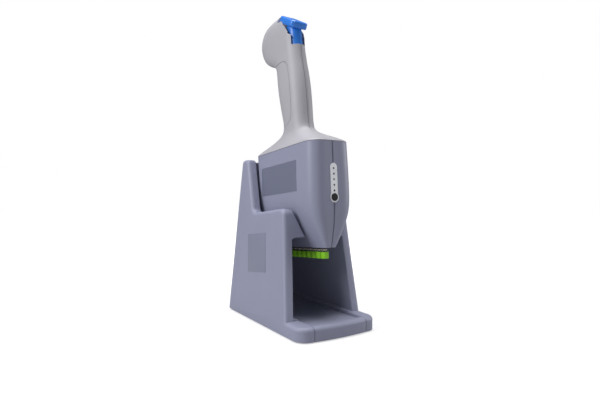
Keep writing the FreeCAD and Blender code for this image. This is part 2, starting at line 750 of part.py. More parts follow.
def key_spring():
    """Return spring round the rod, of flat wire."""
    lean = KEY_LEAN_DEG
    pitch = (SPRING_LENGTH - SPRING_WIRE - 0.4) / SPRING_TURNS
    helix = Part.makeHelix(pitch, pitch * SPRING_TURNS, SPRING_R)
    start = Vec(SPRING_R, 0, 0)
    half = SPRING_WIRE / 2
    section = Part.makePolygon([start + Vec(-half, 0, -half), start + Vec(half, 0, -half),
                                start + Vec(half, 0, half), start + Vec(-half, 0, half),
                                start + Vec(-half, 0, -half)])
    coil = Part.Wire(helix).makePipeShell([section], True, True)
    coil.translate(Vec(0, 0, half + 0.2))
    coil.rotate(Vec(0, 0, 0), Vec(1, 0, 0), -lean)
    centre = rod_point(STEM_FOOT_H - SPRING_LENGTH)
    coil.translate(centre)
    return coil


def gear(phase_deg):
    """Spur gear with straight-flanked teeth; one tooth points at the phase angle."""
    pitch_r = GEAR_MODULE * GEAR_TEETH / 2
    tip_r = pitch_r + TOOTH_TIP_RISE
    root_r = pitch_r - TOOTH_ROOT_DROP
    points = []
    for i in range(GEAR_TEETH):
        centre = math.radians(phase_deg) + 2 * math.pi * i / GEAR_TEETH
        for radius, width, side in ((root_r, TOOTH_ROOT_WIDTH, -1), (pitch_r, TOOTH_PITCH_WIDTH, -1),
                                    (tip_r, TOOTH_TIP_WIDTH, -1), (tip_r, TOOTH_TIP_WIDTH, 1),
                                    (pitch_r, TOOTH_PITCH_WIDTH, 1), (root_r, TOOTH_ROOT_WIDTH, 1)):
            angle = centre + side * width / (2 * radius)
            points.append(Vec(radius * math.cos(angle), radius * math.sin(angle), GEAR_LOW_H))
    face = Part.Face(Part.makePolygon(points + [points[0]]))
    return face.extrude(Vec(0, 0, GEAR_THICK))


def spindle_y(index):
    return (index - (CHANNELS - 1) / 2) * PITCH


def idler_x(index):
    """Idlers stand alternately right and left of the row, in mesh with two spindles."""
    centres = GEAR_MODULE * GEAR_TEETH
    offset = math.sqrt(centres ** 2 - (PITCH / 2) ** 2)
    return offset if index % 2 == 1 else -offset


def mesh_phase(phase, direction):
    """Phase of a gear that meshes with one of the given phase, lying in that direction."""
    return 2 * direction + 180 - phase + 180 / GEAR_TEETH


def train_phases():
    """Phases of spindles and idlers along the row, each in mesh with the one before."""
    spindle_phases = [0.0]
    idler_phases = []
    for i in range(CHANNELS - 1):
        out = math.degrees(math.atan2(PITCH / 2, idler_x(i)))
        back = math.degrees(math.atan2(PITCH / 2, -idler_x(i)))
        idler_phases.append(mesh_phase(spindle_phases[i], out))
        spindle_phases.append(mesh_phase(idler_phases[i], back))
    return spindle_phases, idler_phases


def journal(x, y, low, high):
    return cylinder(JOURNAL_R, high - low, Vec(x, y, low))


def fluted(radius, count, depth, low, high):
    """Bar with a toothed outline, such as a driver bit or a ribbed cap."""
    points = []
    for i in range(2 * count):
        angle = math.pi * i / count
        reach = radius if i % 2 == 0 else radius - depth
        points.append(Vec(reach * math.cos(angle), reach * math.sin(angle), low))
    return Part.Face(Part.makePolygon(points + [points[0]])).extrude(Vec(0, 0, high - low))


def spindle(index, phase):
    """Shaft with its gear and its driver bit."""
    wheel = gear(phase)
    shaft = journal(0, 0, BIT_TOP_H, HIGH_PLATE_H + HIGH_PLATE_THICK - SHAFT_END_GAP)
    bit = fluted(BIT_R, BIT_FLUTES, 0.7, BIT_TIP_H, BIT_TOP_H)
    whole = fuse([wheel, shaft, bit])
    whole.translate(Vec(0, spindle_y(index), 0))
    return whole


def held_cap(index):
    """Screw cap of a tube, held on the bit by its socket."""
    body = fluted(CAP_R, CAP_RIBS, CAP_RIB_DEPTH, CAP_TOP_H - CAP_HEIGHT, CAP_TOP_H)
    socket = fluted(BIT_R + CAP_SOCKET_GAP, BIT_FLUTES, 0.7, BIT_TIP_H - CAP_SOCKET_GAP, CAP_TOP_H + 1)
    well = cylinder(CAP_R - 1.0, 1.6, Vec(0, 0, CAP_TOP_H - CAP_HEIGHT - 0.1))
    cap = body.cut(socket)
    cap = cap.cut(well)
    cap.translate(Vec(0, spindle_y(index), 0))
    return cap


def idler(index, phase):
    """Idler gear between two spindles; the middle one is driven by the motor."""
    wheel = gear(phase)
    shaft = journal(0, 0, LOW_PLATE_H + SHAFT_END_GAP, HIGH_PLATE_H + HIGH_PLATE_THICK - SHAFT_END_GAP)
    whole = fuse([wheel, shaft])
    whole.translate(Vec(idler_x(index), spindle_y(index) + PITCH / 2, 0))
    return whole


def shaft_holes(low, high):
    radius = JOURNAL_R + JOURNAL_GAP
    holes = [cylinder(radius, high - low, Vec(0, spindle_y(i), low)) for i in range(CHANNELS)]
    for i in range(CHANNELS - 1):
        centre = Vec(idler_x(i), spindle_y(i) + PITCH / 2, low)
        holes.append(cylinder(radius, high - low, centre))
    rod_r = EJECTOR_ROD_R + PLATE_RUN
    for side in (-1, 1):
        holes.append(cylinder(rod_r, high - low, Vec(0, side * EJECTOR_ROD_Y, low)))
    return Part.makeCompound(holes)


def bearing_plate(low_h, thickness):
    """Plate across the head that carries the ends of the shafts."""
    half = head_half_width(low_h) - SHELL_WALL - PLATE_RUN
    front = -EJECTOR_ROD_Y - 4.2
    back = EJECTOR_ROD_Y + 6.0
    plate = box(-half, half, front, back, low_h, low_h + thickness)
    upright = [edge for edge in plate.Edges if abs(edge.Vertexes[0].Z - edge.Vertexes[-1].Z) > 1]
    plate = plate.makeFillet(PLATE_CORNER_R, upright)
    return plate.cut(shaft_holes(low_h - 1, low_h + thickness + 1))


def plate_spacers():
    """Four pillars that hold the bearing plates apart."""
    low = LOW_PLATE_H + LOW_PLATE_THICK
    x_place = head_half_width(LOW_PLATE_H) - SHELL_WALL - 2.8
    return [cylinder(1.6, HIGH_PLATE_H - low, Vec(side * x_place, end * (EJECTOR_ROD_Y + 1.4), low))
            for side in (-1, 1) for end in (-1, 1)]


def motor_place():
    middle = (CHANNELS - 1) // 2
    return Vec(idler_x(middle), spindle_y(middle) + PITCH / 2, HIGH_PLATE_H + HIGH_PLATE_THICK)


def gearbox():
    """Reduction gearbox that stands on the upper bearing plate."""
    return cylinder(MOTOR_R, GEARBOX_LENGTH, motor_place())


def drive_motor():
    """Motor on the gearbox, with a narrower end cap."""
    foot = motor_place() + Vec(0, 0, GEARBOX_LENGTH)
    can = cylinder(MOTOR_R - 0.3, MOTOR_LENGTH - 3, foot)
    end = cylinder(MOTOR_R - 3, 3, foot + Vec(0, 0, MOTOR_LENGTH - 3))
    return fuse([can, end])


def battery():
    lean = math.radians(BATTERY_LEAN_DEG)
    up = Vec(0, math.sin(lean), math.cos(lean))
    foot = Vec(0, BATTERY_FOOT_Y, BATTERY_FOOT_H)
    can = cylinder(BATTERY_R, BATTERY_LENGTH, foot, up)
    button = cylinder(BATTERY_R / 3, 1.2, foot + up * BATTERY_LENGTH, up)
    return fuse([can, button])


def battery_cradle():
    """Collar moulded in the handle that the cell stands in."""
    lean = math.radians(BATTERY_LEAN_DEG)
    up = Vec(0, math.sin(lean), math.cos(lean))
    foot = Vec(0, BATTERY_FOOT_Y, BATTERY_FOOT_H)
    collar = cylinder(BATTERY_R + 4.5, 5, foot - up * 2, up)
    room = cylinder(BATTERY_R + 0.2, 5, foot, up)
    return collar.cut(room)


def ejector():
    """Stripper plate with its rods and the yoke that the key rod pushes."""
    reach = EJECTOR_ROD_Y + EJECTOR_ROD_R + 1 - EJECTOR_RUN
    half = EJECTOR_HALF_WIDTH - EJECTOR_RUN
    plate = box(-half, half, -reach, reach, EJECTOR_LOW_H, EJECTOR_LOW_H + EJECTOR_THICK)
    holes = [cylinder(BIT_R + EJECTOR_RUN, 20, Vec(0, spindle_y(i), -5)) for i in range(CHANNELS)]
    plate = plate.cut(Part.makeCompound(holes))
    pieces = [plate]
    for side in (-1, 1):
        pieces.append(cylinder(EJECTOR_ROD_R, YOKE_H - EJECTOR_LOW_H,
                               Vec(0, side * EJECTOR_ROD_Y, EJECTOR_LOW_H)))
    bar_reach = EJECTOR_ROD_Y + 3.0
    pieces.append(box(-YOKE_HALF_WIDTH, YOKE_HALF_WIDTH, -EJECTOR_ROD_Y - 3.0, bar_reach,
                      YOKE_H, YOKE_H + YOKE_THICK))
    return fuse(pieces)


def strip_plate():
    """Pale strip let into the front of both shells."""
    layer = skin(HEAD_SECTIONS, -STRIP_PROUD).cut(skin(HEAD_SECTIONS, STRIP_DEPTH))
    plate = strip_prism(-0.05).common(layer)
    plate = plate.common(box(-20, 20, -60, -40, 0, RIM_H))
    hole = cylinder(BUTTON_R + 0.15, 30, Vec(0, -65, BUTTON_H), Vec(0, 1, 0))
    lens_holes = [cylinder(LENS_R, 30, Vec(0, -65, h), Vec(0, 1, 0)) for h in lens_places()]
    return plate.cut(Part.makeCompound([hole] + lens_holes))


def indicator_lenses():
    """Light pipes from the board to the surface of the strip."""
    front = HEAD_SECTIONS[4][0] - STRIP_PROUD
    return [cylinder(LENS_R, BOARD_Y - front, Vec(0, front, h), Vec(0, 1, 0)) for h in lens_places()]


def power_button():
    front = HEAD_SECTIONS[4][0] - STRIP_PROUD - BUTTON_PROUD
    back = BOARD_Y - BUTTON_TRAVEL - 0.3
    button = cylinder(BUTTON_R, back - front, Vec(0, front, BUTTON_H), Vec(0, 1, 0))
    face_edges = edges_where(button, lambda p: abs(p.y - front) < 1e-6)
    return button.makeFillet(0.5, face_edges)


def control_board():
    return box(-BOARD_HALF_WIDTH, BOARD_HALF_WIDTH, BOARD_Y, BOARD_Y + BOARD_THICK,
               BOARD_LOW_H, BOARD_HIGH_H)


def charge_contacts():
    """Pair of contact plates let into the back of the head."""
    plates = []
    for side in (-1, 1):
        back = head_back(CONTACT_H)
        plate = box(side * CONTACT_X - CONTACT_SIZE / 2, side * CONTACT_X + CONTACT_SIZE / 2,
                    back - CONTACT_THICK, back, CONTACT_H - CONTACT_SIZE / 2,
                    CONTACT_H + CONTACT_SIZE / 2)
        plates.append(plate)
    return plates


def grip_prism(extra=0.0):
    """Side outline of the rear grip panel, run across the handle."""
    lean = math.tan(math.radians(KEY_LEAN_DEG))
    low = GRIP_LOW_H - extra
    high = GRIP_HIGH_H + extra
    front_low = GRIP_EDGE_Y - extra - 2
    front_high = front_low + lean * (high - low)
    return side_profile([(front_low, low, GRIP_CORNER_R), (front_high, high, GRIP_CORNER_R),
                         (90, high, 0), (90, low, 0)], 80, -40)


def head_shells():
    outer = skin(HEAD_SECTIONS)
    floor_box = box(-60, 60, -80, 90, -5, HEAD_FLOOR)
    cavity = hollow_room(HEAD_SECTIONS, SHELL_WALL).cut(floor_box)
    hollow = outer.cut(cavity)
    bosses = [boss.common(outer) for boss, place in zip(boss_pair(), SHELL_BOSSES) if place[1] < RIM_H]
    hollow = fuse([hollow] + bosses)
    hollow = hollow.cut(ejector_window())
    layer = outer.cut(skin(HEAD_SECTIONS, STRIP_DEPTH))
    hollow = hollow.cut(strip_prism().common(layer))
    openings = [cylinder(BUTTON_R + 0.3, 20, Vec(0, -60, BUTTON_H), Vec(0, 1, 0))]
    openings += [cylinder(LENS_R + 0.1, 20, Vec(0, -60, h), Vec(0, 1, 0)) for h in lens_places()]
    openings += charge_contacts()
    return hollow.cut(Part.makeCompound(openings)), outer


def handle_shells():
    outer = skin(HANDLE_SECTIONS)
    inner_sections = [section for section in HANDLE_SECTIONS if section[3] <= KEY_BACK_H]
    cavity = hollow_room(inner_sections, SHELL_WALL)
    cavity = cavity.cut(box(-20, 20, -20, 90, KEY_BACK_H - 3, 300))
    hollow = outer.cut(cavity)
    inside = [boss.common(outer) for boss, place in zip(boss_pair(), SHELL_BOSSES) if place[1] > RIM_H]
    web = spring_seat().common(outer)
    rod_room = cylinder(KEY_ROD_R + 0.3, 200, rod_point(100), key_axis() * -1)
    collar = battery_cradle().common(outer)
    guide = stem_guide().common(outer)
    for piece in [web, guide, collar] + inside:
        hollow = hollow.fuse(piece)
    hollow = hollow.cut(rod_room)
    for room in key_room():
        hollow = hollow.cut(room)
    grip_layer = outer.cut(hollow_room(inner_sections, GRIP_DEPTH))
    hollow = hollow.cut(grip_prism().common(grip_layer))
    return hollow, outer, grip_layer


def key_room():
    """Space swept by the key when it is pressed, with the slot for its stem."""
    drop = EJECT_TRAVEL + KEY_RUN
    wide = HANDLE_SECTIONS[5][2] + 10
    slope = math.radians(KEY_SLOPE_DEG)
    under = Vec(0, KEY_BACK_Y, KEY_BACK_H) + Vec(0, math.sin(slope), -math.cos(slope)) * KEY_THICK
    low = under + key_axis() * drop
    behind = KEY_BACK_Y + KEY_THICK * math.sin(slope) + KEY_RUN
    reach = 60.0
    front = Vec(0, low.y - reach * math.cos(slope), low.z - reach * math.sin(slope))
    rise = (behind - low.y) * math.tan(slope)
    outline = [(front.y, front.z, 0), (behind, low.z + rise, 1.5), (behind, 330, 0), (front.y, 330, 0)]
    above = side_profile(outline, 2 * wide, -wide)
    tail = key_stem(GUIDE_RUN, STEM_SETBACK, STEM_FOOT_H - EJECT_TRAVEL - 2, KEY_BACK_H)
    slot = box(-STEM_HALF_WIDTH - SLOT_SIDE, STEM_HALF_WIDTH + SLOT_SIDE, -20, SLOT_BACK_Y,
               SLOT_FLOOR_H, KEY_BACK_H + 20)
    return [above, tail, slot]


def shell_screws(head_outer, handle_outer):
    screws = []
    seats = []
    for y, h in SHELL_BOSSES:
        outer = head_outer if h < RIM_H else handle_outer
        outer_x = surface_x(outer, y, h)
        screws.append(screw_seat(y, h, outer_x))
        well = cylinder(SCREW_HEAD_R + 0.1, 20, Vec(outer_x - SCREW_HEAD - 0.8, y, h), Vec(1, 0, 0))
        seats.append(fuse([screws[-1], well]))
    return screws, seats


def write(node, shapes):
    """Write one node; a list becomes a group of separate solids."""
    solids = []
    for shape in shapes if isinstance(shapes, list) else [shapes]:
        centred = shape.copy()
        centred.translate(Vec(0, -DOCK_DEPTH / 2, 0))
        solids += centred.Solids
    whole = solids[0] if len(solids) == 1 else Part.makeCompound(solids)
    whole.exportStep("parts/" + node + ".step")
    valid = all(solid.isValid() for solid in solids)
    volume = sum(solid.Volume for solid in solids)
    print("%-22s %2d solids  %8.0f mm3  valid %s" % (node, len(solids), volume, valid))


def build_dock():
    side = dock_side()
    write("dock_right_side", side)
    write("dock_left_side", mirrored(side))
    write("floor_tray", floor_tray())
    write("back_wall", back_wall())
    write("base_plate", base_plate())
    write("rubber_feet", rubber_feet())
    write("base_screws", base_screws())
    write("cradle_pads", cradle_pads())
    write("charge_block", charge_block())
    write("charge_pins", charge_pins())
    write("power_inlet", power_inlet())


def write_tool(node, shapes):
    placed = [place_tool(shape) for shape in (shapes if isinstance(shapes, list) else [shapes])]
    return write(node, placed)


def build_tool():
    head, head_outer = head_shells()
    handle, handle_outer, grip_layer = handle_shells()
    screws, seats = shell_screws(head_outer, handle_outer)
    seat_cut = Part.makeCompound(seats)
    write_tool("head_shell_left", left_half(head.cut(seat_cut)))
    write_tool("head_shell_right", right_half(head.cut(seat_cut)))
    write_tool("handle_shell_left", left_half(handle.cut(seat_cut)))
    write_tool("handle_shell_right", right_half(handle.cut(seat_cut)))
    grip = grip_prism(-GRIP_GROOVE).common(grip_layer)
    write_tool("rear_grip_panel", grip.cut(seat_cut))
    write_tool("shell_screws", screws)
    write_tool("status_strip", strip_plate())
    write_tool("indicator_lenses", indicator_lenses())
    write_tool("power_button", power_button())
    write_tool("control_board", control_board())
    write_tool("charge_contacts", charge_contacts())
    write_tool("battery_cell", battery())
    write_tool("drive_motor", drive_motor())
    write_tool("reduction_gearbox", gearbox())
    write_tool("lower_bearing_plate", bearing_plate(LOW_PLATE_H, LOW_PLATE_THICK))
    write_tool("upper_bearing_plate", bearing_plate(HIGH_PLATE_H, HIGH_PLATE_THICK))
    write_tool("plate_spacers", plate_spacers())
    write_tool("cap_ejector", ejector())
    write_tool("eject_key", eject_key())
    write_tool("key_rod", key_rod())
    write_tool("key_spring", key_spring())
    spindle_phases, idler_phases = train_phases()
    for i in range(CHANNELS):
        write_tool("spindle_%d" % (i + 1), spindle(i, spindle_phases[i]))
        write_tool("tube_cap_%d" % (i + 1), held_cap(i))
    for i in range(CHANNELS - 1):
        write_tool("idler_gear_%d" % (i + 1), idler(i, idler_phases[i]))


def main():
    os.makedirs("parts", exist_ok=True)
    build_dock()
    build_tool()


main()
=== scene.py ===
"""Tube decapper in its charging dock: smooth housings, bare plates, key, caps and finishes."""
import json
import math

import bmesh
import bpy
from mathutils import Matrix, Vector


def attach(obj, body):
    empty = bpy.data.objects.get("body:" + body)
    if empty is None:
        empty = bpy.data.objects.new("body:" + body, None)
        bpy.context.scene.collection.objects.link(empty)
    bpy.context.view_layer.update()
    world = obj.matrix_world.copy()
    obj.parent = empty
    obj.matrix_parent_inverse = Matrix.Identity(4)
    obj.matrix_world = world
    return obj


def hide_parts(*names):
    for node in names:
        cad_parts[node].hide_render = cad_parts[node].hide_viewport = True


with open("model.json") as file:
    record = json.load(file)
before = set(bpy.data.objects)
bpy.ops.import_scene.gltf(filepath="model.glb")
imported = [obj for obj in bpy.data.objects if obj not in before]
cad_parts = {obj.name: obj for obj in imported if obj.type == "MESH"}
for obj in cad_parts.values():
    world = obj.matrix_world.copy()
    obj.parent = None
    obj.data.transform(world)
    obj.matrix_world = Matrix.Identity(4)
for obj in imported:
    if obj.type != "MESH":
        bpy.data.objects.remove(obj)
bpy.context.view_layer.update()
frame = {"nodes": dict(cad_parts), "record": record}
nodes = frame["nodes"]

MM = 0.001
DOCK_MIDDLE = 81.25
LEAN = math.radians(4.5)
TOOL_FOOT = (62.0, 85.0)
TOOL_PLACE = Matrix.Translation((0, (TOOL_FOOT[0] - DOCK_MIDDLE) * MM, TOOL_FOOT[1] * MM))
TOOL = TOOL_PLACE @ Matrix.Rotation(-LEAN, 4, "X")
WALL_LEAN = math.radians(4.1)
CHANNELS = 8
PITCH = 9.0


# Studio

CAMERA_LENS = 26.447
CAMERA_SENSOR = 36.0
CAMERA_SHIFT = (0.0390, 0.0291)
CAMERA_PLACE = (-0.2738, (-334.3 - DOCK_MIDDLE) * MM, 0.1408)
CAMERA_AIM = (0.5082, 0.8582, -0.0719)
# Name, place and aim in metres, width of the disk in metres, power in watts.
LAMPS = [
    ("left_softbox", (-1.15, 0.12, 0.72), (0, 0, 0.15), 0.8, 11.8),
    ("top_softbox", (0.0, 0.0, 1.35), (0, 0, 0.1), 0.7, 15.5),
    ("front_fill", (-0.5, -1.25, 0.14), (0, 0, 0.06), 0.6, 1.4),
    ("right_rim", (1.2, -0.4, 0.45), (0, 0, 0.15), 0.6, 5.4),
]
SKY_COLOUR = (0.94, 0.96, 1.0, 1)
SKY_STRENGTH = 0.14
FLOOR_COLOUR = (0.5, 0.5, 0.51, 1)
# Distances in metres over which the floor fades to the white backdrop.
FLOOR_FADE = (0.1, 0.5)


def camera():
    """Camera that stands where the photograph was taken from."""
    data = bpy.data.cameras.new("studio_camera")
    data.lens = CAMERA_LENS
    data.sensor_width = CAMERA_SENSOR
    data.shift_x = CAMERA_SHIFT[0]
    data.shift_y = CAMERA_SHIFT[1]
    data.clip_start = 0.01
    view = bpy.data.objects.new("studio_camera", data)
    bpy.context.scene.collection.objects.link(view)
    view.location = CAMERA_PLACE
    view.rotation_euler = Vector(CAMERA_AIM).to_track_quat("-Z", "Y").to_euler()
    bpy.context.scene.camera = view


def lamp(name, place, target, size, power):
    """Round soft lamp aimed at a target."""
    data = bpy.data.lights.new(name, "AREA")
    data.shape = "DISK"
    data.size = size
    data.energy = power
    light = bpy.data.objects.new(name, data)
    bpy.context.scene.collection.objects.link(light)
    light.location = place
    aim = Vector(target) - Vector(place)
    light.rotation_euler = aim.to_track_quat("-Z", "Y").to_euler()


# Finishes

class Wire:
    """One output in a material; arithmetic on it adds the matching Math nodes."""

    def __init__(self, paint, output):
        self.paint = paint
        self.output = output

    def maths(self, operation, first, second):
        return self.paint.add("ShaderNodeMath", {"operation": operation}, {0: first, 1: second})

    def __radd__(self, other):
        return self.maths("ADD", other, self)

    def __mul__(self, other):
        return self.maths("MULTIPLY", self, other)

    def at(self, name):
        """Another output of the same node."""
        return Wire(self.paint, self.output.node.outputs[name])


class Paint:
    """A procedural finish on Object coordinates."""

    def __init__(self, name):
        self.material = bpy.data.materials.new(name)
        self.material.use_nodes = True
        self.tree = self.material.node_tree
        self.shader = self.tree.nodes["Principled BSDF"]
        self.place = self.add("ShaderNodeTexCoord", {}, {}).at("Object")

    def add(self, kind, settings, values):
        node = self.tree.nodes.new(kind)
        for key, value in settings.items():
            setattr(node, key, value)
        for key, value in values.items():
            self.feed(node.inputs[key], value)
        output = next(out for out in node.outputs if out.enabled)
        return Wire(self, output)

    def feed(self, socket, value):
        if isinstance(value, Wire):
            self.tree.links.new(value.output, socket)
        else:
            socket.default_value = value

    def set(self, **values):
        names = {"colour": "Base Color", "rough": "Roughness", "metal": "Metallic", "normal": "Normal",
                 "coat": "Coat Weight", "coat_rough": "Coat Roughness", "specular": "Specular IOR Level"}
        for key, value in values.items():
            self.feed(self.shader.inputs[names[key]], value)

    def noise(self, scale, detail=2.0, roughness=0.5, stretch=(1, 1, 1)):
        place = self.place
        if stretch != (1, 1, 1):
            place = self.add("ShaderNodeMapping", {}, {"Vector": self.place, "Scale": stretch})
        return self.add("ShaderNodeTexNoise", {}, {"Vector": place, "Scale": scale, "Detail": detail,
                                                   "Roughness": roughness}).at("Fac")

    def blend(self, share, first, second):
        """Mix of two colours. The sockets go by number, since several share a name."""
        node = self.tree.nodes.new("ShaderNodeMix")
        node.data_type = "RGBA"
        self.feed(node.inputs[0], share)
        self.feed(node.inputs[6], first)
        self.feed(node.inputs[7], second)
        return Wire(self, node.outputs[2])

    def bump(self, height, strength, distance):
        return self.add("ShaderNodeBump", {}, {"Height": height, "Strength": strength,
                                               "Distance": distance})


def shade(colour, factor):
    """Colour made lighter or darker, with full alpha."""
    return (colour[0] * factor, colour[1] * factor, colour[2] * factor, 1.0)


def moulded(name, colour, rough=0.5, grain=2600.0, depth=0.35, mottle=0.05, coat=0.0):
    """Injection-moulded plastic: fine spark-eroded grain, faint mottling and handling marks."""
    paint = Paint(name)
    grain_height = paint.noise(grain, 2.0, 0.6)
    drift = paint.noise(26.0, 3.0, 0.55)
    marks = paint.noise(90.0, 4.0, 0.65, (1, 1, 0.35))
    tone = paint.blend(drift, shade(colour, 1 - mottle), shade(colour, 1 + mottle))
    paint.set(colour=tone, rough=(rough - 0.05) + marks * 0.1, coat=coat, coat_rough=0.35,
              specular=0.42, normal=paint.bump(grain_height, depth, 0.00006))
    return paint.material


def soft_rubber(name, colour, rough=0.75):
    """Dull rubber with a powdery bloom."""
    paint = Paint(name)
    bloom = paint.noise(140.0, 4.0, 0.6)
    tone = paint.blend(bloom, shade(colour, 0.8), shade(colour, 1.5))
    paint.set(colour=tone, rough=(rough - 0.08) + bloom * 0.16, specular=0.3,
              normal=paint.bump(paint.noise(3200.0), 0.4, 0.00005))
    return paint.material


def brushed(name, colour, rough=0.32, stretch=(1, 1, 0.05)):
    """Turned or brushed metal with fine lines round its axis."""
    paint = Paint(name)
    lines = paint.noise(2400.0, 3.0, 0.6, stretch)
    film = paint.noise(60.0, 3.0)
    tone = paint.blend(film, shade(colour, 0.88), shade(colour, 1.06))
    paint.set(colour=tone, metal=1.0, rough=(rough - 0.08) + lines * 0.16,
              normal=paint.bump(lines, 0.25, 0.00004))
    return paint.material


def polished(name, colour, rough=0.22, coat=0.3):
    """Smooth glossy plastic with a faint orange-peel surface."""
    paint = Paint(name)
    peel = paint.noise(420.0, 2.0)
    smudge = paint.noise(75.0, 4.0, 0.65)
    tone = paint.blend(smudge, shade(colour, 0.96), shade(colour, 1.04))
    paint.set(colour=tone, rough=(rough - 0.04) + smudge * 0.1, coat=coat, coat_rough=0.12,
              normal=paint.bump(peel, 0.12, 0.00008))
    return paint.material


def circuit_green(name):
    """Solder mask over faint copper tracks."""
    paint = Paint(name)
    tracks = paint.add("ShaderNodeTexBrick", {"offset": 0.5},
                       {"Vector": paint.place, "Scale": 260.0, "Mortar Size": 0.02}).at("Fac")
    tone = paint.blend(tracks, (0.012, 0.13, 0.05, 1), (0.03, 0.24, 0.09, 1))
    paint.set(colour=tone, rough=0.35, coat=0.3, normal=paint.bump(tracks, 0.3, 0.00004))
    return paint.material


HOUSING = (0.262, 0.272, 0.372)
PLATE = (0.150, 0.161, 0.227)
HANDLE = (0.385, 0.378, 0.412)

finish = {
    "dock_plastic": moulded("dock_blue_grey", HOUSING, 0.48, mottle=0.03),
    "head_plastic": moulded("head_blue_grey", HOUSING, 0.46, mottle=0.03),
    "handle_plastic": moulded("handle_light_grey", HANDLE, 0.5, mottle=0.025),
    "grip_plastic": moulded("grip_panel_grey", (0.375, 0.368, 0.402), 0.6, 1900.0, 0.6, 0.03),
    "dark_plastic": moulded("dark_mouldings", (0.035, 0.036, 0.042), 0.55, depth=0.5),
    "ejector_black": moulded("stripper_black", (0.025, 0.025, 0.028), 0.45),
    "soft_rubber": soft_rubber("feet_and_pads_rubber", (0.03, 0.03, 0.033)),
    "button_black": soft_rubber("button_black", (0.012, 0.012, 0.014), 0.5),
    "screw_steel": brushed("screw_steel", (0.6, 0.6, 0.61)),
    "rod_steel": brushed("rod_steel", (0.58, 0.58, 0.6)),
    "spring_steel": brushed("spring_steel", (0.45, 0.45, 0.47), 0.28),
    "motor_steel": brushed("motor_steel", (0.5, 0.5, 0.52), 0.35),
    "plate_aluminium": brushed("bearing_plate_aluminium", (0.68, 0.69, 0.71), 0.4, (1, 0.04, 1)),
    "contact_metal": brushed("contact_gold", (0.86, 0.66, 0.33), 0.22),
    "bit_dark": polished("driver_bit_black", (0.03, 0.03, 0.034), 0.35, 0.1),
    "strip_white": polished("status_strip_white", (0.90, 0.91, 0.95), 0.3, 0.2),
    "lens_dark": polished("indicator_lens_smoked", (0.05, 0.052, 0.06), 0.12, 0.6),
    "key_blue": polished("key_blue", (0.025, 0.190, 0.690), 0.36, 0.15),
    "cell_wrap": polished("cell_sleeve_blue", (0.05, 0.12, 0.35), 0.3),
    "board_green": circuit_green("board_green"),
    "cap_lime": moulded("cap_lime", (0.24, 0.60, 0.010), 0.42, 1800.0, 0.3, 0.05, 0.1),
    "gear_ivory": moulded("gear_ivory", (0.62, 0.60, 0.52), 0.45),
}
bare_plate = moulded("bare_plate_grey", PLATE, 0.42, 3400.0, 0.2, 0.03)
dock_label = moulded("dock_plate_grey", (0.205, 0.216, 0.294), 0.42, 3400.0, 0.2, 0.03)
bit_tip = moulded("bit_tip_cream", (0.46, 0.43, 0.36), 0.4)
slot_of = {entry["node"]: entry["material_slot"] for entry in frame["record"]["subparts"]}
for node_name, node in nodes.items():
    node.data.materials.clear()
    node.data.materials.append(finish[slot_of[node_name]])


# Modelling

def deselect():
    """Back to object mode with nothing selected."""
    if bpy.context.mode != "OBJECT":
        bpy.ops.object.mode_set(mode="OBJECT")
    bpy.ops.object.select_all(action="DESELECT")


def activate(piece):
    """Select one piece alone and make it the active one."""
    deselect()
    piece.select_set(True)
    bpy.context.view_layer.objects.active = piece


def started(name):
    """The primitive that was just added, under its own name."""
    piece = bpy.context.object
    piece.name = name
    piece.data.name = name
    return piece


def apply_modifier(piece, kind, name, **settings):
    """Add a modifier with these settings and apply it at once."""
    activate(piece)
    modifier = piece.modifiers.new(name, kind)
    for key, value in settings.items():
        setattr(modifier, key, value)
    bpy.ops.object.modifier_apply(modifier=name)


def smooth(piece, angle=35.0):
    activate(piece)
    bpy.ops.object.shade_smooth_by_angle(angle=math.radians(angle))


def settle(piece, place=None):
    """Put the piece's place into its mesh, through the tool's lean where that is given."""
    if place is not None:
        piece.matrix_world = place @ piece.matrix_world
    activate(piece)
    bpy.ops.object.transform_apply(location=True, rotation=True, scale=True)


def finished(piece, body, material, replaced=()):
    """Give a piece its material and body, and hide the solids that it stands for."""
    piece.data.materials.clear()
    piece.data.materials.append(material)
    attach(piece, body)
    if replaced:
        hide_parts(*replaced)
    deselect()
    return piece


def block(name, x0, x1, y0, y1, z0, z1):
    """Box primitive between two corners, in millimetres."""
    deselect()
    bpy.ops.mesh.primitive_cube_add(size=1, location=((x0 + x1) / 2 * MM, (y0 + y1) / 2 * MM,
                                                      (z0 + z1) / 2 * MM),
                                    scale=((x1 - x0) * MM, (y1 - y0) * MM, (z1 - z0) * MM))
    piece = started(name)
    settle(piece)
    return piece


def cut(piece, cutter, operation="DIFFERENCE"):
    """Boolean with another piece, which is used up."""
    apply_modifier(piece, "BOOLEAN", "cut", operation=operation, object=cutter, solver="EXACT")
    bpy.data.objects.remove(cutter)


# Housing halves

SEAM = 0.2
SWELL = 1.026
QUARTER_TURNS = [math.radians(22.5 * i) for i in range(5)]
SIDE_SHARES = (0.25, 0.5, 0.75)
SEAM_SHARES = (0.67, 0.33)
ROUNDING_LEVELS = 3
TINY = 1e-6


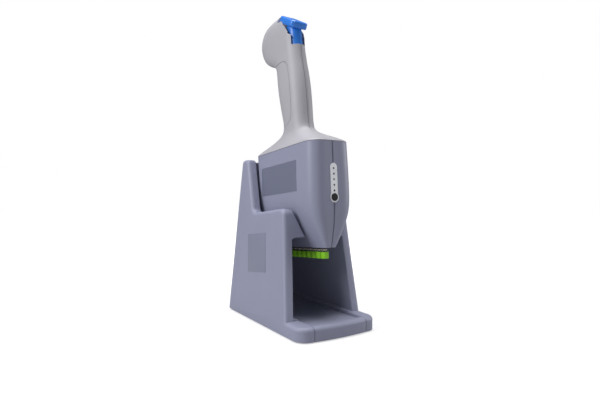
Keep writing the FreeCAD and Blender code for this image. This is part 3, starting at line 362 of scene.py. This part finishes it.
def half_outline(section, side, seam):
    """Points of one half of the housing at a height: round the outside, then back along the seam.

    A section holds front, back, half width, height, front corner, rear corner and the share of
    an oval. Corners are drawn larger by SWELL, because the later subdivision draws them in.
    """
    front, back, half, height, front_corner, rear_corner, oval = section
    limit = min(half - seam, (back - front) / 2)
    near = min(front_corner, limit)
    far = min(rear_corner, limit)
    middle = (front + back) / 2
    depth = (back - front) / 2
    points = [(seam, front), ((seam + half - near) / 2, front)]
    for turn in QUARTER_TURNS:
        points.append((half - near + near * SWELL * math.sin(turn),
                       front + near - near * SWELL * math.cos(turn)))
    points += [(half, front + near + (back - front - near - far) * share) for share in SIDE_SHARES]
    for turn in QUARTER_TURNS:
        points.append((half - far + far * SWELL * math.cos(turn),
                       back - far + far * SWELL * math.sin(turn)))
    points += [((seam + half - far) / 2, back), (seam, back)]
    blended = []
    for x, y in points:
        turn = math.atan2((y - middle) / depth, x / half)
        egg_x = half * SWELL * math.cos(turn)
        egg_y = middle + depth * SWELL * math.sin(turn)
        share = oval if y > middle else oval / 2
        blended.append((max(seam, x + (egg_x - x) * share), y + (egg_y - y) * share))
    for i in (1, 2):
        blended[i] = (max(blended[i][0], seam + 0.5 * i), blended[i][1])
        blended[-1 - i] = (max(blended[-1 - i][0], seam + 0.5 * i), blended[-1 - i][1])
    blended[0] = (seam, front)
    blended[-1] = (seam, back)
    for share in SEAM_SHARES:
        blended.append((seam, front + (back - front) * share))
    return [Vector((side * x * MM, y * MM, height * MM)) for x, y in blended]


def half_housing(name, sections, side, seam=SEAM):
    """One half of a housing: a ring extruded from section to section and closed at both ends."""
    deselect()
    first = half_outline(sections[0], side, seam)
    bpy.ops.mesh.primitive_circle_add(vertices=len(first), radius=0.01)
    piece = started(name)
    bpy.ops.object.mode_set(mode="EDIT")
    bpy.ops.mesh.select_mode(type="VERT")
    bpy.ops.mesh.select_all(action="SELECT")
    order = None
    for section in sections:
        if order is not None:
            bpy.ops.mesh.extrude_region_move()
        mesh = bmesh.from_edit_mesh(piece.data)
        ring = [vert for vert in mesh.verts if vert.select]
        if order is None:
            order = {tuple(vert.co): vert.index for vert in ring}
        spots = half_outline(section, side, seam)
        moved = {}
        for vert in ring:
            place = order[tuple(vert.co)]
            vert.co = spots[place]
            moved[tuple(vert.co)] = place
        order = moved
        bmesh.update_edit_mesh(piece.data)
    bpy.ops.mesh.edge_face_add()
    bpy.ops.mesh.select_all(action="DESELECT")
    mesh = bmesh.from_edit_mesh(piece.data)
    low = sections[0][3] * MM
    for edge in mesh.edges:
        edge.select = edge.is_boundary and all(abs(vert.co.z - low) < 1e-7 for vert in edge.verts)
    bmesh.update_edit_mesh(piece.data)
    bpy.ops.mesh.edge_face_add()
    bpy.ops.mesh.select_all(action="SELECT")
    bpy.ops.mesh.normals_make_consistent(inside=False)
    bpy.ops.object.mode_set(mode="OBJECT")
    return piece


def crease(piece, test, amount=1.0):
    """Crease the edges whose two ends pass the test."""
    attributes = piece.data.attributes
    if "crease_edge" not in attributes:
        attributes.new("crease_edge", "FLOAT", "EDGE")
    for edge in piece.data.edges:
        ends = [piece.data.vertices[i].co for i in edge.vertices]
        if test(ends[0], ends[1]):
            attributes["crease_edge"].data[edge.index].value = amount


def rounded_housing(piece, low, high, seam=SEAM):
    """Subdivide the housing, keeping its seam and rim edges crisp."""
    def at_seam(point):
        return abs(abs(point.x) - seam * MM) < TINY

    spans = {}
    for vert in piece.data.vertices:
        if at_seam(vert.co):
            span = spans.setdefault(round(vert.co.z, 6), [vert.co.y, vert.co.y])
            span[0] = min(span[0], vert.co.y)
            span[1] = max(span[1], vert.co.y)

    def on_corner(point):
        if not at_seam(point):
            return False
        span = spans[round(point.z, 6)]
        return point.y < span[0] + TINY or point.y > span[1] - TINY

    crease(piece, lambda a, b: on_corner(a) and on_corner(b) and abs(a.z - b.z) > TINY, 0.9)
    crease(piece, lambda a, b: max(a.z, b.z) < low * MM + 1e-7)
    if high is not None:
        crease(piece, lambda a, b: min(a.z, b.z) > high * MM - 1e-7)
    apply_modifier(piece, "SUBSURF", "round", levels=ROUNDING_LEVELS, render_levels=ROUNDING_LEVELS)


HEAD = [
    (-43.2, 50.2, 7.2, 0.0, 3.8, 2.2, 0.0),
    (-45.2, 51.5, 10.9, 7.0, 5.6, 2.5, 0.0),
    (-48.2, 53.4, 16.9, 19.0, 8.4, 3.0, 0.0),
    (-50.3, 55.4, 22.6, 31.5, 11.0, 3.3, 0.0),
    (-51.0, 56.6, 25.1, 41.0, 12.2, 3.4, 0.0),
    (-51.4, 57.9, 25.8, 56.0, 12.6, 3.4, 0.0),
    (-51.5, 59.7, 25.4, 80.0, 12.6, 3.4, 0.0),
    (-51.5, 61.2, 24.7, 100.0, 12.8, 3.4, 0.0),
    (-51.5, 61.9, 24.6, 106.8, 13.0, 3.4, 0.0),
]
HANDLE_RINGS = [
    (-51.5, 61.9, 24.6, 107.2, 13.0, 3.4, 0.0),
    (-50.6, 61.2, 24.2, 108.4, 13.2, 3.8, 0.0),
    (-44.6, 55.6, 21.8, 112.0, 14.2, 7.0, 0.05),
    (-28.0, 43.2, 16.6, 118.6, 13.4, 11.5, 0.35),
    (-14.6, 32.8, 13.1, 125.6, 11.4, 12.2, 0.8),
    (-12.0, 28.6, 12.9, 132.0, 10.4, 12.2, 0.85),
    (-11.0, 29.0, 12.8, 140.0, 10.0, 12.2, 0.85),
    (-10.6, 33.6, 13.2, 156.0, 10.0, 12.8, 0.85),
    (-9.4, 38.2, 13.2, 176.0, 10.0, 12.8, 0.85),
    (-7.0, 40.2, 12.5, 193.0, 9.8, 12.2, 0.85),
    (-4.4, 40.8, 12.1, 204.6, 9.6, 11.8, 0.85),
    (-3.7, 47.0, 12.1, 211.0, 9.6, 11.7, 0.85),
    (-3.2, 59.4, 12.1, 215.8, 9.8, 11.7, 0.85),
    (-2.6, 70.4, 12.3, 224.0, 10.0, 11.9, 0.8),
    (-2.4, 75.4, 12.6, 236.0, 10.2, 12.0, 0.75),
    (-2.2, 75.6, 12.4, 245.6, 10.4, 11.8, 0.75),
    (0.0, 70.4, 11.0, 254.8, 9.8, 10.6, 0.8),
    (7.0, 62.6, 8.4, 259.8, 7.6, 8.0, 0.8),
    (18.0, 52.0, 4.2, 262.6, 3.6, 4.0, 0.85),
]
HEAD_TOP = 106.8
HANDLE_FOOT = 107.2
# Depth and height of the grip panel's edge, seen from the side.
GRIP_EDGE = [(60.0, 133.6), (16.0, 134.0), (9.6, 135.4), (5.0, 138.6), (2.6, 143.4), (2.2, 150.0),
             (2.5, 168.7), (4.1, 182.0), (6.4, 194.7), (8.0, 200.6), (11.0, 204.6), (16.0, 206.4),
             (60.0, 207.0)]


def prism(name, corners, travel):
    """Flat outline through corners in millimetres, run along a straight travel."""
    deselect()
    bpy.ops.mesh.primitive_circle_add(vertices=len(corners), radius=0.01)
    piece = started(name)
    for vert, corner in zip(piece.data.vertices, corners):
        vert.co = Vector(corner) * MM
    bpy.ops.object.mode_set(mode="EDIT")
    bpy.ops.mesh.select_mode(type="VERT")
    bpy.ops.mesh.select_all(action="SELECT")
    bpy.ops.mesh.edge_face_add()
    bpy.ops.mesh.extrude_region_move(TRANSFORM_OT_translate={"value": Vector(travel) * MM})
    bpy.ops.object.mode_set(mode="OBJECT")
    outward(piece)
    return piece


def grip_prism(name, shrink):
    """Side outline of the rear grip panel, run across the handle; shrink moves its edge inward."""
    places = [Vector(place) for place in GRIP_EDGE]
    corners = []
    for i, place in enumerate(places):
        along = places[min(i + 1, len(places) - 1)] - places[max(i - 1, 0)]
        moved = place + Vector((along.y, -along.x)).normalized() * shrink
        corners.append((-30, moved.x, moved.y))
    return prism(name, corners, (60, 0, 0))


# Thumb key and its place in the handle, in the tool's own millimetres

STEM_HALF = 7.6
STEM_FRONT = -1.3
STEM_BACK = 11.0
STEM_FROM = 221.0
STEM_LEAN = math.tan(math.radians(5.0))
STEM_ENDS = (219.6, 245.0)
STEM_SLACK = 0.35
STEM_WELL = (204.0, 230.0)
STEM_SLOT = (-9.0, 9.0, -20, 13.4, 221.0, 290.0)
PAD_HALF = 10.5
PAD_LENGTH = 31.8
PAD_THICK = 6.8
PAD_HEEL = 1.2
PAD_CORNER = 5.0
PAD_EDGE = 1.5
PAD_SLOPE = math.radians(33)
PAD_TOP = (21.2, 260.7)
SHOULDERS = {"half": 30.0, "slope": 53.0, "floor_y": 22.0, "floor_height": 257.6, "behind": 24.6}
PAD_POCKET = {"half": 10.9, "slope": 33.0, "floor_y": 30.2, "floor_height": 249.8, "behind": 26.4}
GRIP_GROOVE = 0.2


def stem_prism(name, extra, low, high):
    """Stem of the key between two heights: round in front, leaning with the handle."""
    half = STEM_HALF + extra
    front = STEM_FRONT - extra + (low - STEM_FROM) * STEM_LEAN
    back = STEM_BACK + extra + (low - STEM_FROM) * STEM_LEAN
    turns = [math.radians(15 * i - 90) for i in range(13)]
    corners = [(half * math.sin(turn), front + half - half * math.cos(turn), low) for turn in turns]
    corners += [(half, back, low), (-half, back, low)]
    return prism(name, corners, (0, (high - low) * STEM_LEAN, high - low))


def key_cover():
    """Thumb key: a sloping pad with soft edges on a stem with a round front."""
    pad = block("eject_key_cover", -PAD_HALF, PAD_HALF, -PAD_LENGTH, 0.0, -PAD_THICK, 0.0)
    for vert in pad.data.vertices:
        if vert.co.z < -0.001 and vert.co.y > -0.001:
            vert.co.z -= PAD_HEEL * MM
    activate(pad)
    bpy.ops.object.mode_set(mode="EDIT")
    bpy.ops.mesh.select_mode(type="EDGE")
    bpy.ops.mesh.select_all(action="DESELECT")
    mesh = bmesh.from_edit_mesh(pad.data)
    for edge in mesh.edges:
        edge.select = abs(edge.verts[0].co.z - edge.verts[1].co.z) > PAD_CORNER * MM
    bmesh.update_edit_mesh(pad.data)
    bpy.ops.mesh.bevel(offset=PAD_CORNER * MM, segments=8)
    bpy.ops.object.mode_set(mode="OBJECT")
    apply_modifier(pad, "BEVEL", "edge", width=PAD_EDGE * MM, segments=4, limit_method="ANGLE",
                   angle_limit=math.radians(50))
    slope = Matrix.Rotation(PAD_SLOPE, 4, "X")
    settle(pad, Matrix.Translation((0, PAD_TOP[0] * MM, PAD_TOP[1] * MM)) @ slope)
    cut(pad, stem_prism("stem", 0.0, *STEM_ENDS), "UNION")
    settle(pad, TOOL)
    smooth(pad)
    return finished(pad, "key", finish["key_blue"], ["eject_key"])


def grip_cover():
    """Soft rear panel of the handle, flush with it inside a fine groove."""
    piece = half_housing("rear_grip_cover", HANDLE_RINGS, -1, 0.0)
    rounded_housing(piece, HANDLE_FOOT, None, 0.0)
    cut(piece, grip_prism("grip_side", GRIP_GROOVE), "INTERSECT")
    select_faces(piece, lambda face: all(abs(vert.co.x) < TINY for vert in face.verts))
    bpy.ops.mesh.delete(type="FACE")
    bpy.ops.object.mode_set(mode="OBJECT")
    apply_modifier(piece, "MIRROR", "other_side", use_axis=(True, False, False), use_clip=True,
                   merge_threshold=0.00001)
    settle(piece, TOOL)
    smooth(piece)
    return finished(piece, "tool", finish["grip_plastic"], ["rear_grip_panel"])


def key_recess(name, half, slope, floor_y, floor_height, behind):
    """Space in front of the pommel and above a floor that slopes down to the front."""
    piece = block(name, -half, half, behind - 60, behind, 200, 330)
    rise = math.tan(math.radians(slope))
    for vert in piece.data.vertices:
        if vert.co.z < 0.25:
            vert.co.z = (floor_height - (floor_y - vert.co.y / MM) * rise) * MM
    return piece


# Covers of the housing halves

# Where each screw's well ends across the tool, its depth and its height, on the right-hand side.
HEAD_SCREWS = [(21.3, 47.5, 36.0), (21.6, -36.0, 99.0), (21.6, 50.0, 98.0)]
HANDLE_SCREWS = [(9.5, 52.0, 241.3)]
SCREW_WELL_R = 2.5
SCREW_WELL_LENGTH = 40
# Heights in the dock's frame between which the handle's lowest screw lies.
HIDDEN_SCREW = (225, 240)
HIDDEN_SCREW_SINK = 3.5
EJECTOR_WINDOW = (-4.6, 4.6, -41.4, 41.4, -5.0, 7.0)
BUTTON_WELL_R = 4.15
BUTTON_WELL_LENGTH = 20
BUTTON_WELL_MIDDLE = (0, -50, 50.5)
# Depth and height of the plate's middle, then its height and length.
HEAD_PLATE_MIDDLE = (13.9, 75.0)
HEAD_PLATE_SIZE = (32.0, 72.6)
HEAD_PLATE_THICK = 0.5
DOCK_PLATE_BOX = (48.55, 49.0, -20.5, 20.5, -21.5, 21.5)
DOCK_PLATE_MIDDLE = (16.0, 76.8)
DOCK_PLATE_TILT = math.radians(-7.0)
WALL_FOOT = (38.2, 15.0)


def round_bore(name, radius, middle, length, along):
    """Cylinder to cut with, along X or Y."""
    turn = (0, math.radians(90), 0) if along == "X" else (math.radians(90), 0, 0)
    deselect()
    bpy.ops.mesh.primitive_cylinder_add(vertices=64, radius=radius * MM, depth=length * MM,
                                        rotation=turn, location=Vector(middle) * MM)
    return started(name)


def screw_wells(piece, seats):
    """Open the wells in which the sunk heads of the housing screws lie."""
    for x, y, height in seats:
        middle = (x + SCREW_WELL_LENGTH / 2, y, height)
        cut(piece, round_bore("screw_well", SCREW_WELL_R, middle, SCREW_WELL_LENGTH, "X"))


def screws_cover():
    """Housing screws; the lowest one of the handle lies under the soft panel."""
    piece = skin_of("shell_screws", "tool")
    low, high = HIDDEN_SCREW
    for vert in piece.data.vertices:
        if low * MM < vert.co.z < high * MM and vert.co.x > 0:
            vert.co.x -= HIDDEN_SCREW_SINK * MM
    return piece


def handle_half(name, side, node):
    """Left or right cover of the handle, opened for the key, the grip panel and the screw."""
    piece = half_housing(name, HANDLE_RINGS, side)
    rounded_housing(piece, HANDLE_FOOT, None)
    cut(piece, key_recess("side_shoulders", **SHOULDERS))
    cut(piece, key_recess("pad_pocket", **PAD_POCKET))
    cut(piece, block("stem_slot", *STEM_SLOT))
    cut(piece, stem_prism("stem_well", STEM_SLACK, *STEM_WELL))
    cut(piece, grip_prism("grip_place", -GRIP_GROOVE))
    if side > 0:
        screw_wells(piece, HANDLE_SCREWS)
    settle(piece, TOOL)
    smooth(piece)
    return finished(piece, "tool", finish["handle_plastic"], [node])


def head_half(name, side, node):
    """Left or right cover of the head, with its bare plate."""
    piece = half_housing(name, HEAD, side)
    rounded_housing(piece, 0.0, HEAD_TOP)
    plate = head_plate("bare_plate_left" if side < 0 else "bare_plate_right", side, piece)
    cut(piece, block("ejector_window", *EJECTOR_WINDOW))
    cut(piece, round_bore("button_well", BUTTON_WELL_R, BUTTON_WELL_MIDDLE, BUTTON_WELL_LENGTH, "Y"))
    if side > 0:
        screw_wells(piece, HEAD_SCREWS)
    for made in (piece, plate):
        settle(made, TOOL)
        smooth(made)
    finished(plate, "tool", bare_plate)
    return finished(piece, "tool", finish["head_plastic"], [node])


def head_plate(name, side, housing):
    """Bare plate that follows the side of the head."""
    middle_y, middle_z = HEAD_PLATE_MIDDLE
    height, length = HEAD_PLATE_SIZE
    deselect()
    bpy.ops.mesh.primitive_grid_add(x_subdivisions=40, y_subdivisions=16, size=1,
                                    location=(side * 60 * MM, middle_y * MM, middle_z * MM),
                                    rotation=(0, math.radians(90), 0))
    piece = started(name)
    piece.scale = (height * MM, length * MM, 1)
    settle(piece)
    apply_modifier(piece, "SHRINKWRAP", "lay", target=housing, wrap_method="PROJECT",
                   use_project_x=True, use_project_y=False, use_project_z=False,
                   use_negative_direction=side > 0, use_positive_direction=side < 0)
    apply_modifier(piece, "SOLIDIFY", "sheet", thickness=HEAD_PLATE_THICK * MM, offset=0.0)
    apply_modifier(piece, "BEVEL", "edge", width=0.12 * MM, segments=2, limit_method="ANGLE")
    return piece


def dock_plate(name, side):
    """Bare plate on the outer face of a wall, leaning with it, its front side a little higher."""
    piece = block(name, *DOCK_PLATE_BOX)
    middle = Matrix.Translation((0, DOCK_PLATE_MIDDLE[0] * MM, DOCK_PLATE_MIDDLE[1] * MM))
    settle(piece, middle @ Matrix.Rotation(DOCK_PLATE_TILT, 4, "X"))
    foot = Vector((WALL_FOOT[0] * MM, 0, WALL_FOOT[1] * MM))
    lean = Matrix.Translation(foot) @ Matrix.Rotation(-WALL_LEAN, 4, "Y") @ Matrix.Translation(-foot)
    settle(piece, lean)
    if side < 0:
        settle(piece, Matrix.Scale(-1, 4, (1, 0, 0)))
        outward(piece)
    apply_modifier(piece, "BEVEL", "edge", width=0.15 * MM, segments=3)
    smooth(piece)
    return finished(piece, "dock", dock_label)


def outward(piece):
    """Turn every face of a closed piece outward."""
    activate(piece)
    bpy.ops.object.mode_set(mode="EDIT")
    bpy.ops.mesh.select_all(action="SELECT")
    bpy.ops.mesh.normals_make_consistent(inside=False)
    bpy.ops.object.mode_set(mode="OBJECT")


def select_faces(piece, test):
    """Open the piece for editing with only the faces that pass the test selected."""
    activate(piece)
    bpy.ops.object.mode_set(mode="EDIT")
    bpy.ops.mesh.select_mode(type="FACE")
    bpy.ops.mesh.select_all(action="DESELECT")
    mesh = bmesh.from_edit_mesh(piece.data)
    for face in mesh.faces:
        face.select = test(face)
    bmesh.update_edit_mesh(piece.data)


# Caps and bits, on the spindle's axis with the bit's foot at 0

CAP_R = 3.75
CAP_LENGTH = 6.8
CAP_MIDDLE = -8.1
CAP_FACETS = 48
# Facets in a rib and the groove after it, and the place of the groove among them.
RIB_FACETS = 3
RIB_GROOVE = 2
# Direction, width of the rim and depth of the socket above and the skirt below.
CAP_HOLLOWS = ((1, 1.2, 1.8), (-1, 0.8, 1.6))
COLLAR_R = 2.5
COLLAR_LENGTH = 1.6
COLLAR_MIDDLE = -2.6


def ribbed_cap():
    """Screw cap with grip ribs, a driver socket above and a hollow skirt below."""
    deselect()
    bpy.ops.mesh.primitive_cylinder_add(vertices=CAP_FACETS, radius=CAP_R * MM,
                                        depth=CAP_LENGTH * MM, location=(0, 0, CAP_MIDDLE * MM))
    piece = started("cap_pattern")
    settle(piece)

    def on_rib(face):
        middle = face.calc_center_median()
        turn = math.degrees(math.atan2(middle.y, middle.x)) % 360
        facet = int(turn / (360 / CAP_FACETS))
        return abs(face.normal.z) < 0.1 and facet % RIB_FACETS != RIB_GROOVE

    select_faces(piece, on_rib)
    bpy.ops.mesh.inset(thickness=0.08 * MM, depth=0.2 * MM)
    for up, rim, depth in CAP_HOLLOWS:
        select_faces(piece, lambda face: face.normal.z * up > 0.9 and face.calc_area() > 4e-6)
        bpy.ops.mesh.inset(thickness=rim * MM)
        bpy.ops.mesh.extrude_region_move(TRANSFORM_OT_translate={"value": (0, 0, -up * depth * MM)})
    bpy.ops.object.mode_set(mode="OBJECT")
    apply_modifier(piece, "BEVEL", "edge", width=0.06 * MM, segments=1, limit_method="ANGLE",
                   angle_limit=math.radians(40))
    return piece


def bit_collar():
    """Pale collar round a driver bit, just above the cap."""
    deselect()
    bpy.ops.mesh.primitive_cylinder_add(vertices=24, radius=COLLAR_R * MM,
                                        depth=COLLAR_LENGTH * MM, location=(0, 0, COLLAR_MIDDLE * MM))
    piece = started("collar_pattern")
    settle(piece)
    select_faces(piece, lambda face: abs(face.normal.z) > 0.9)
    bpy.ops.mesh.inset(thickness=0.3 * MM)
    bpy.ops.object.mode_set(mode="OBJECT")
    apply_modifier(piece, "BEVEL", "edge", width=0.25 * MM, segments=3, limit_method="ANGLE",
                   angle_limit=math.radians(40))
    return piece


def along_row(pattern, name, material, replaced=None):
    """Copies of a pattern at the eight spindles, each with its own mesh."""
    for i in range(CHANNELS):
        activate(pattern)
        bpy.ops.object.duplicate()
        piece = started("%s_%d" % (name, i + 1))
        settle(piece, TOOL @ Matrix.Translation((0, (i - (CHANNELS - 1) / 2) * PITCH * MM, 0)))
        smooth(piece)
        finished(piece, "spindle_body_%d" % (i + 1), material,
                 [replaced % (i + 1)] if replaced else [])
    bpy.data.objects.remove(pattern)


# Skins over the solids

SKIN_ANGLE = 30.0
EDGE_ROUND = 0.4
TRAY_JOINT = 0.35
TRAY_HALF = 32.35
WALL_TOP_FROM = 160
WALL_RAISE = 9.0
WALL_RAISE_BACK = 0.75
LENSES = 5
LENS_R = 1.05
LENS_LENGTH = 0.9
LENS_FRONT = -51.45
LENS_LOWEST = 57.2
LENS_PITCH = 5.55


def skin_of(node_name, body):
    """A solid with its triangles joined, so that its rounds shade smoothly."""
    activate(nodes[node_name])
    bpy.ops.object.duplicate()
    piece = started(node_name + "_skin")
    for key in list(piece.keys()):
        del piece[key]
    piece.parent = None
    bpy.ops.object.mode_set(mode="EDIT")
    bpy.ops.mesh.select_all(action="SELECT")
    bpy.ops.mesh.remove_doubles(threshold=1e-6)
    bpy.ops.object.mode_set(mode="OBJECT")
    smooth(piece, SKIN_ANGLE)
    slot = slot_of[node_name]
    return finished(piece, body, finish[slot], [node_name])


def soften(piece):
    """Small rounds on the crisp edges of a moulding."""
    apply_modifier(piece, "BEVEL", "edge", width=EDGE_ROUND * MM, segments=2, limit_method="ANGLE",
                   angle_limit=math.radians(55))
    smooth(piece, SKIN_ANGLE)


def dock_side_cover(node_name):
    """Side of the dock with softened edges."""
    piece = skin_of(node_name, "dock")
    soften(piece)
    return piece


def tray_cover():
    """Floor tray with a visible joint line on either side."""
    piece = skin_of("floor_tray", "dock")
    settle(piece, Matrix.Scale(1 - TRAY_JOINT / TRAY_HALF, 4, (1, 0, 0)))
    soften(piece)
    return piece


def back_wall_cover():
    """Back wall, raised to just under the tops of the posts."""
    piece = skin_of("back_wall", "dock")
    for vert in piece.data.vertices:
        if vert.co.z > WALL_TOP_FROM * MM:
            vert.co.z += WALL_RAISE * MM
            vert.co.y -= WALL_RAISE_BACK * MM
    soften(piece)
    return piece


def lens_cover():
    """Smoked indicator windows, just proud of the strip."""
    deselect()
    for i in range(LENSES):
        place = (0, LENS_FRONT * MM, (LENS_LOWEST + LENS_PITCH * i) * MM)
        bpy.ops.mesh.primitive_cylinder_add(vertices=24, radius=LENS_R * MM, depth=LENS_LENGTH * MM,
                                            rotation=(math.radians(90), 0, 0), location=place)
        piece = started("indicator_lens_%d" % (i + 1))
        settle(piece, TOOL)
        apply_modifier(piece, "BEVEL", "edge", width=0.2 * MM, segments=2, limit_method="ANGLE")
        smooth(piece)
        stands_for = ["indicator_lenses"] if i == 0 else []
        finished(piece, "tool", finish["lens_dark"], stands_for)


# Everything together

def studio():
    """Camera, world, lamps and a floor that keeps the shadow and fades to white."""
    camera()
    scene = bpy.context.scene
    scene.view_settings.view_transform = "Standard"
    world = bpy.data.worlds.new("studio_world")
    scene.world = world
    world.use_nodes = True
    tree = world.node_tree
    sky = tree.nodes["Background"]
    sky.inputs["Color"].default_value = SKY_COLOUR
    sky.inputs["Strength"].default_value = SKY_STRENGTH
    backdrop = tree.nodes.new("ShaderNodeBackground")
    backdrop.inputs["Color"].default_value = (1, 1, 1, 1)
    ray = tree.nodes.new("ShaderNodeLightPath")
    either = tree.nodes.new("ShaderNodeMixShader")
    tree.links.new(ray.outputs["Is Camera Ray"], either.inputs[0])
    tree.links.new(sky.outputs[0], either.inputs[1])
    tree.links.new(backdrop.outputs[0], either.inputs[2])
    tree.links.new(either.outputs[0], tree.nodes["World Output"].inputs["Surface"])
    for setting in LAMPS:
        lamp(*setting)
    deselect()
    bpy.ops.mesh.primitive_plane_add(size=8, location=(0, 0, 0))
    floor = started("studio_floor")
    paint = Paint("pale_floor")
    paint.set(colour=FLOOR_COLOUR, rough=0.8, specular=0.1)
    away = paint.add("ShaderNodeVectorMath", {"operation": "LENGTH"}, {0: paint.place}).at("Value")
    near, far = FLOOR_FADE
    glow = paint.add("ShaderNodeMapRange", {"interpolation_type": "SMOOTHSTEP"},
                     {"Value": away, "From Min": near, "From Max": far, "To Min": 0.5, "To Max": 1.0})
    seen = paint.add("ShaderNodeLightPath", {}, {}).at("Is Camera Ray")
    white = paint.add("ShaderNodeCombineColor", {}, {0: glow * seen, 1: glow * seen, 2: glow * seen})
    paint.feed(paint.shader.inputs["Emission Color"], white)
    paint.shader.inputs["Emission Strength"].default_value = 1.0
    floor.data.materials.append(paint.material)


studio()
handle_half("handle_left_cover", -1, "handle_shell_left")
handle_half("handle_right_cover", 1, "handle_shell_right")
grip_cover()
head_half("head_left_cover", -1, "head_shell_left")
head_half("head_right_cover", 1, "head_shell_right")
dock_side_cover("dock_right_side")
dock_side_cover("dock_left_side")
tray_cover()
back_wall_cover()
lens_cover()
screws_cover()
dock_plate("dock_plate_left", -1)
dock_plate("dock_plate_right", 1)
along_row(ribbed_cap(), "lime_cap", finish["cap_lime"], "tube_cap_%d")
along_row(bit_collar(), "bit_collar", bit_tip)
key_cover()
skin_of("power_button", "button")
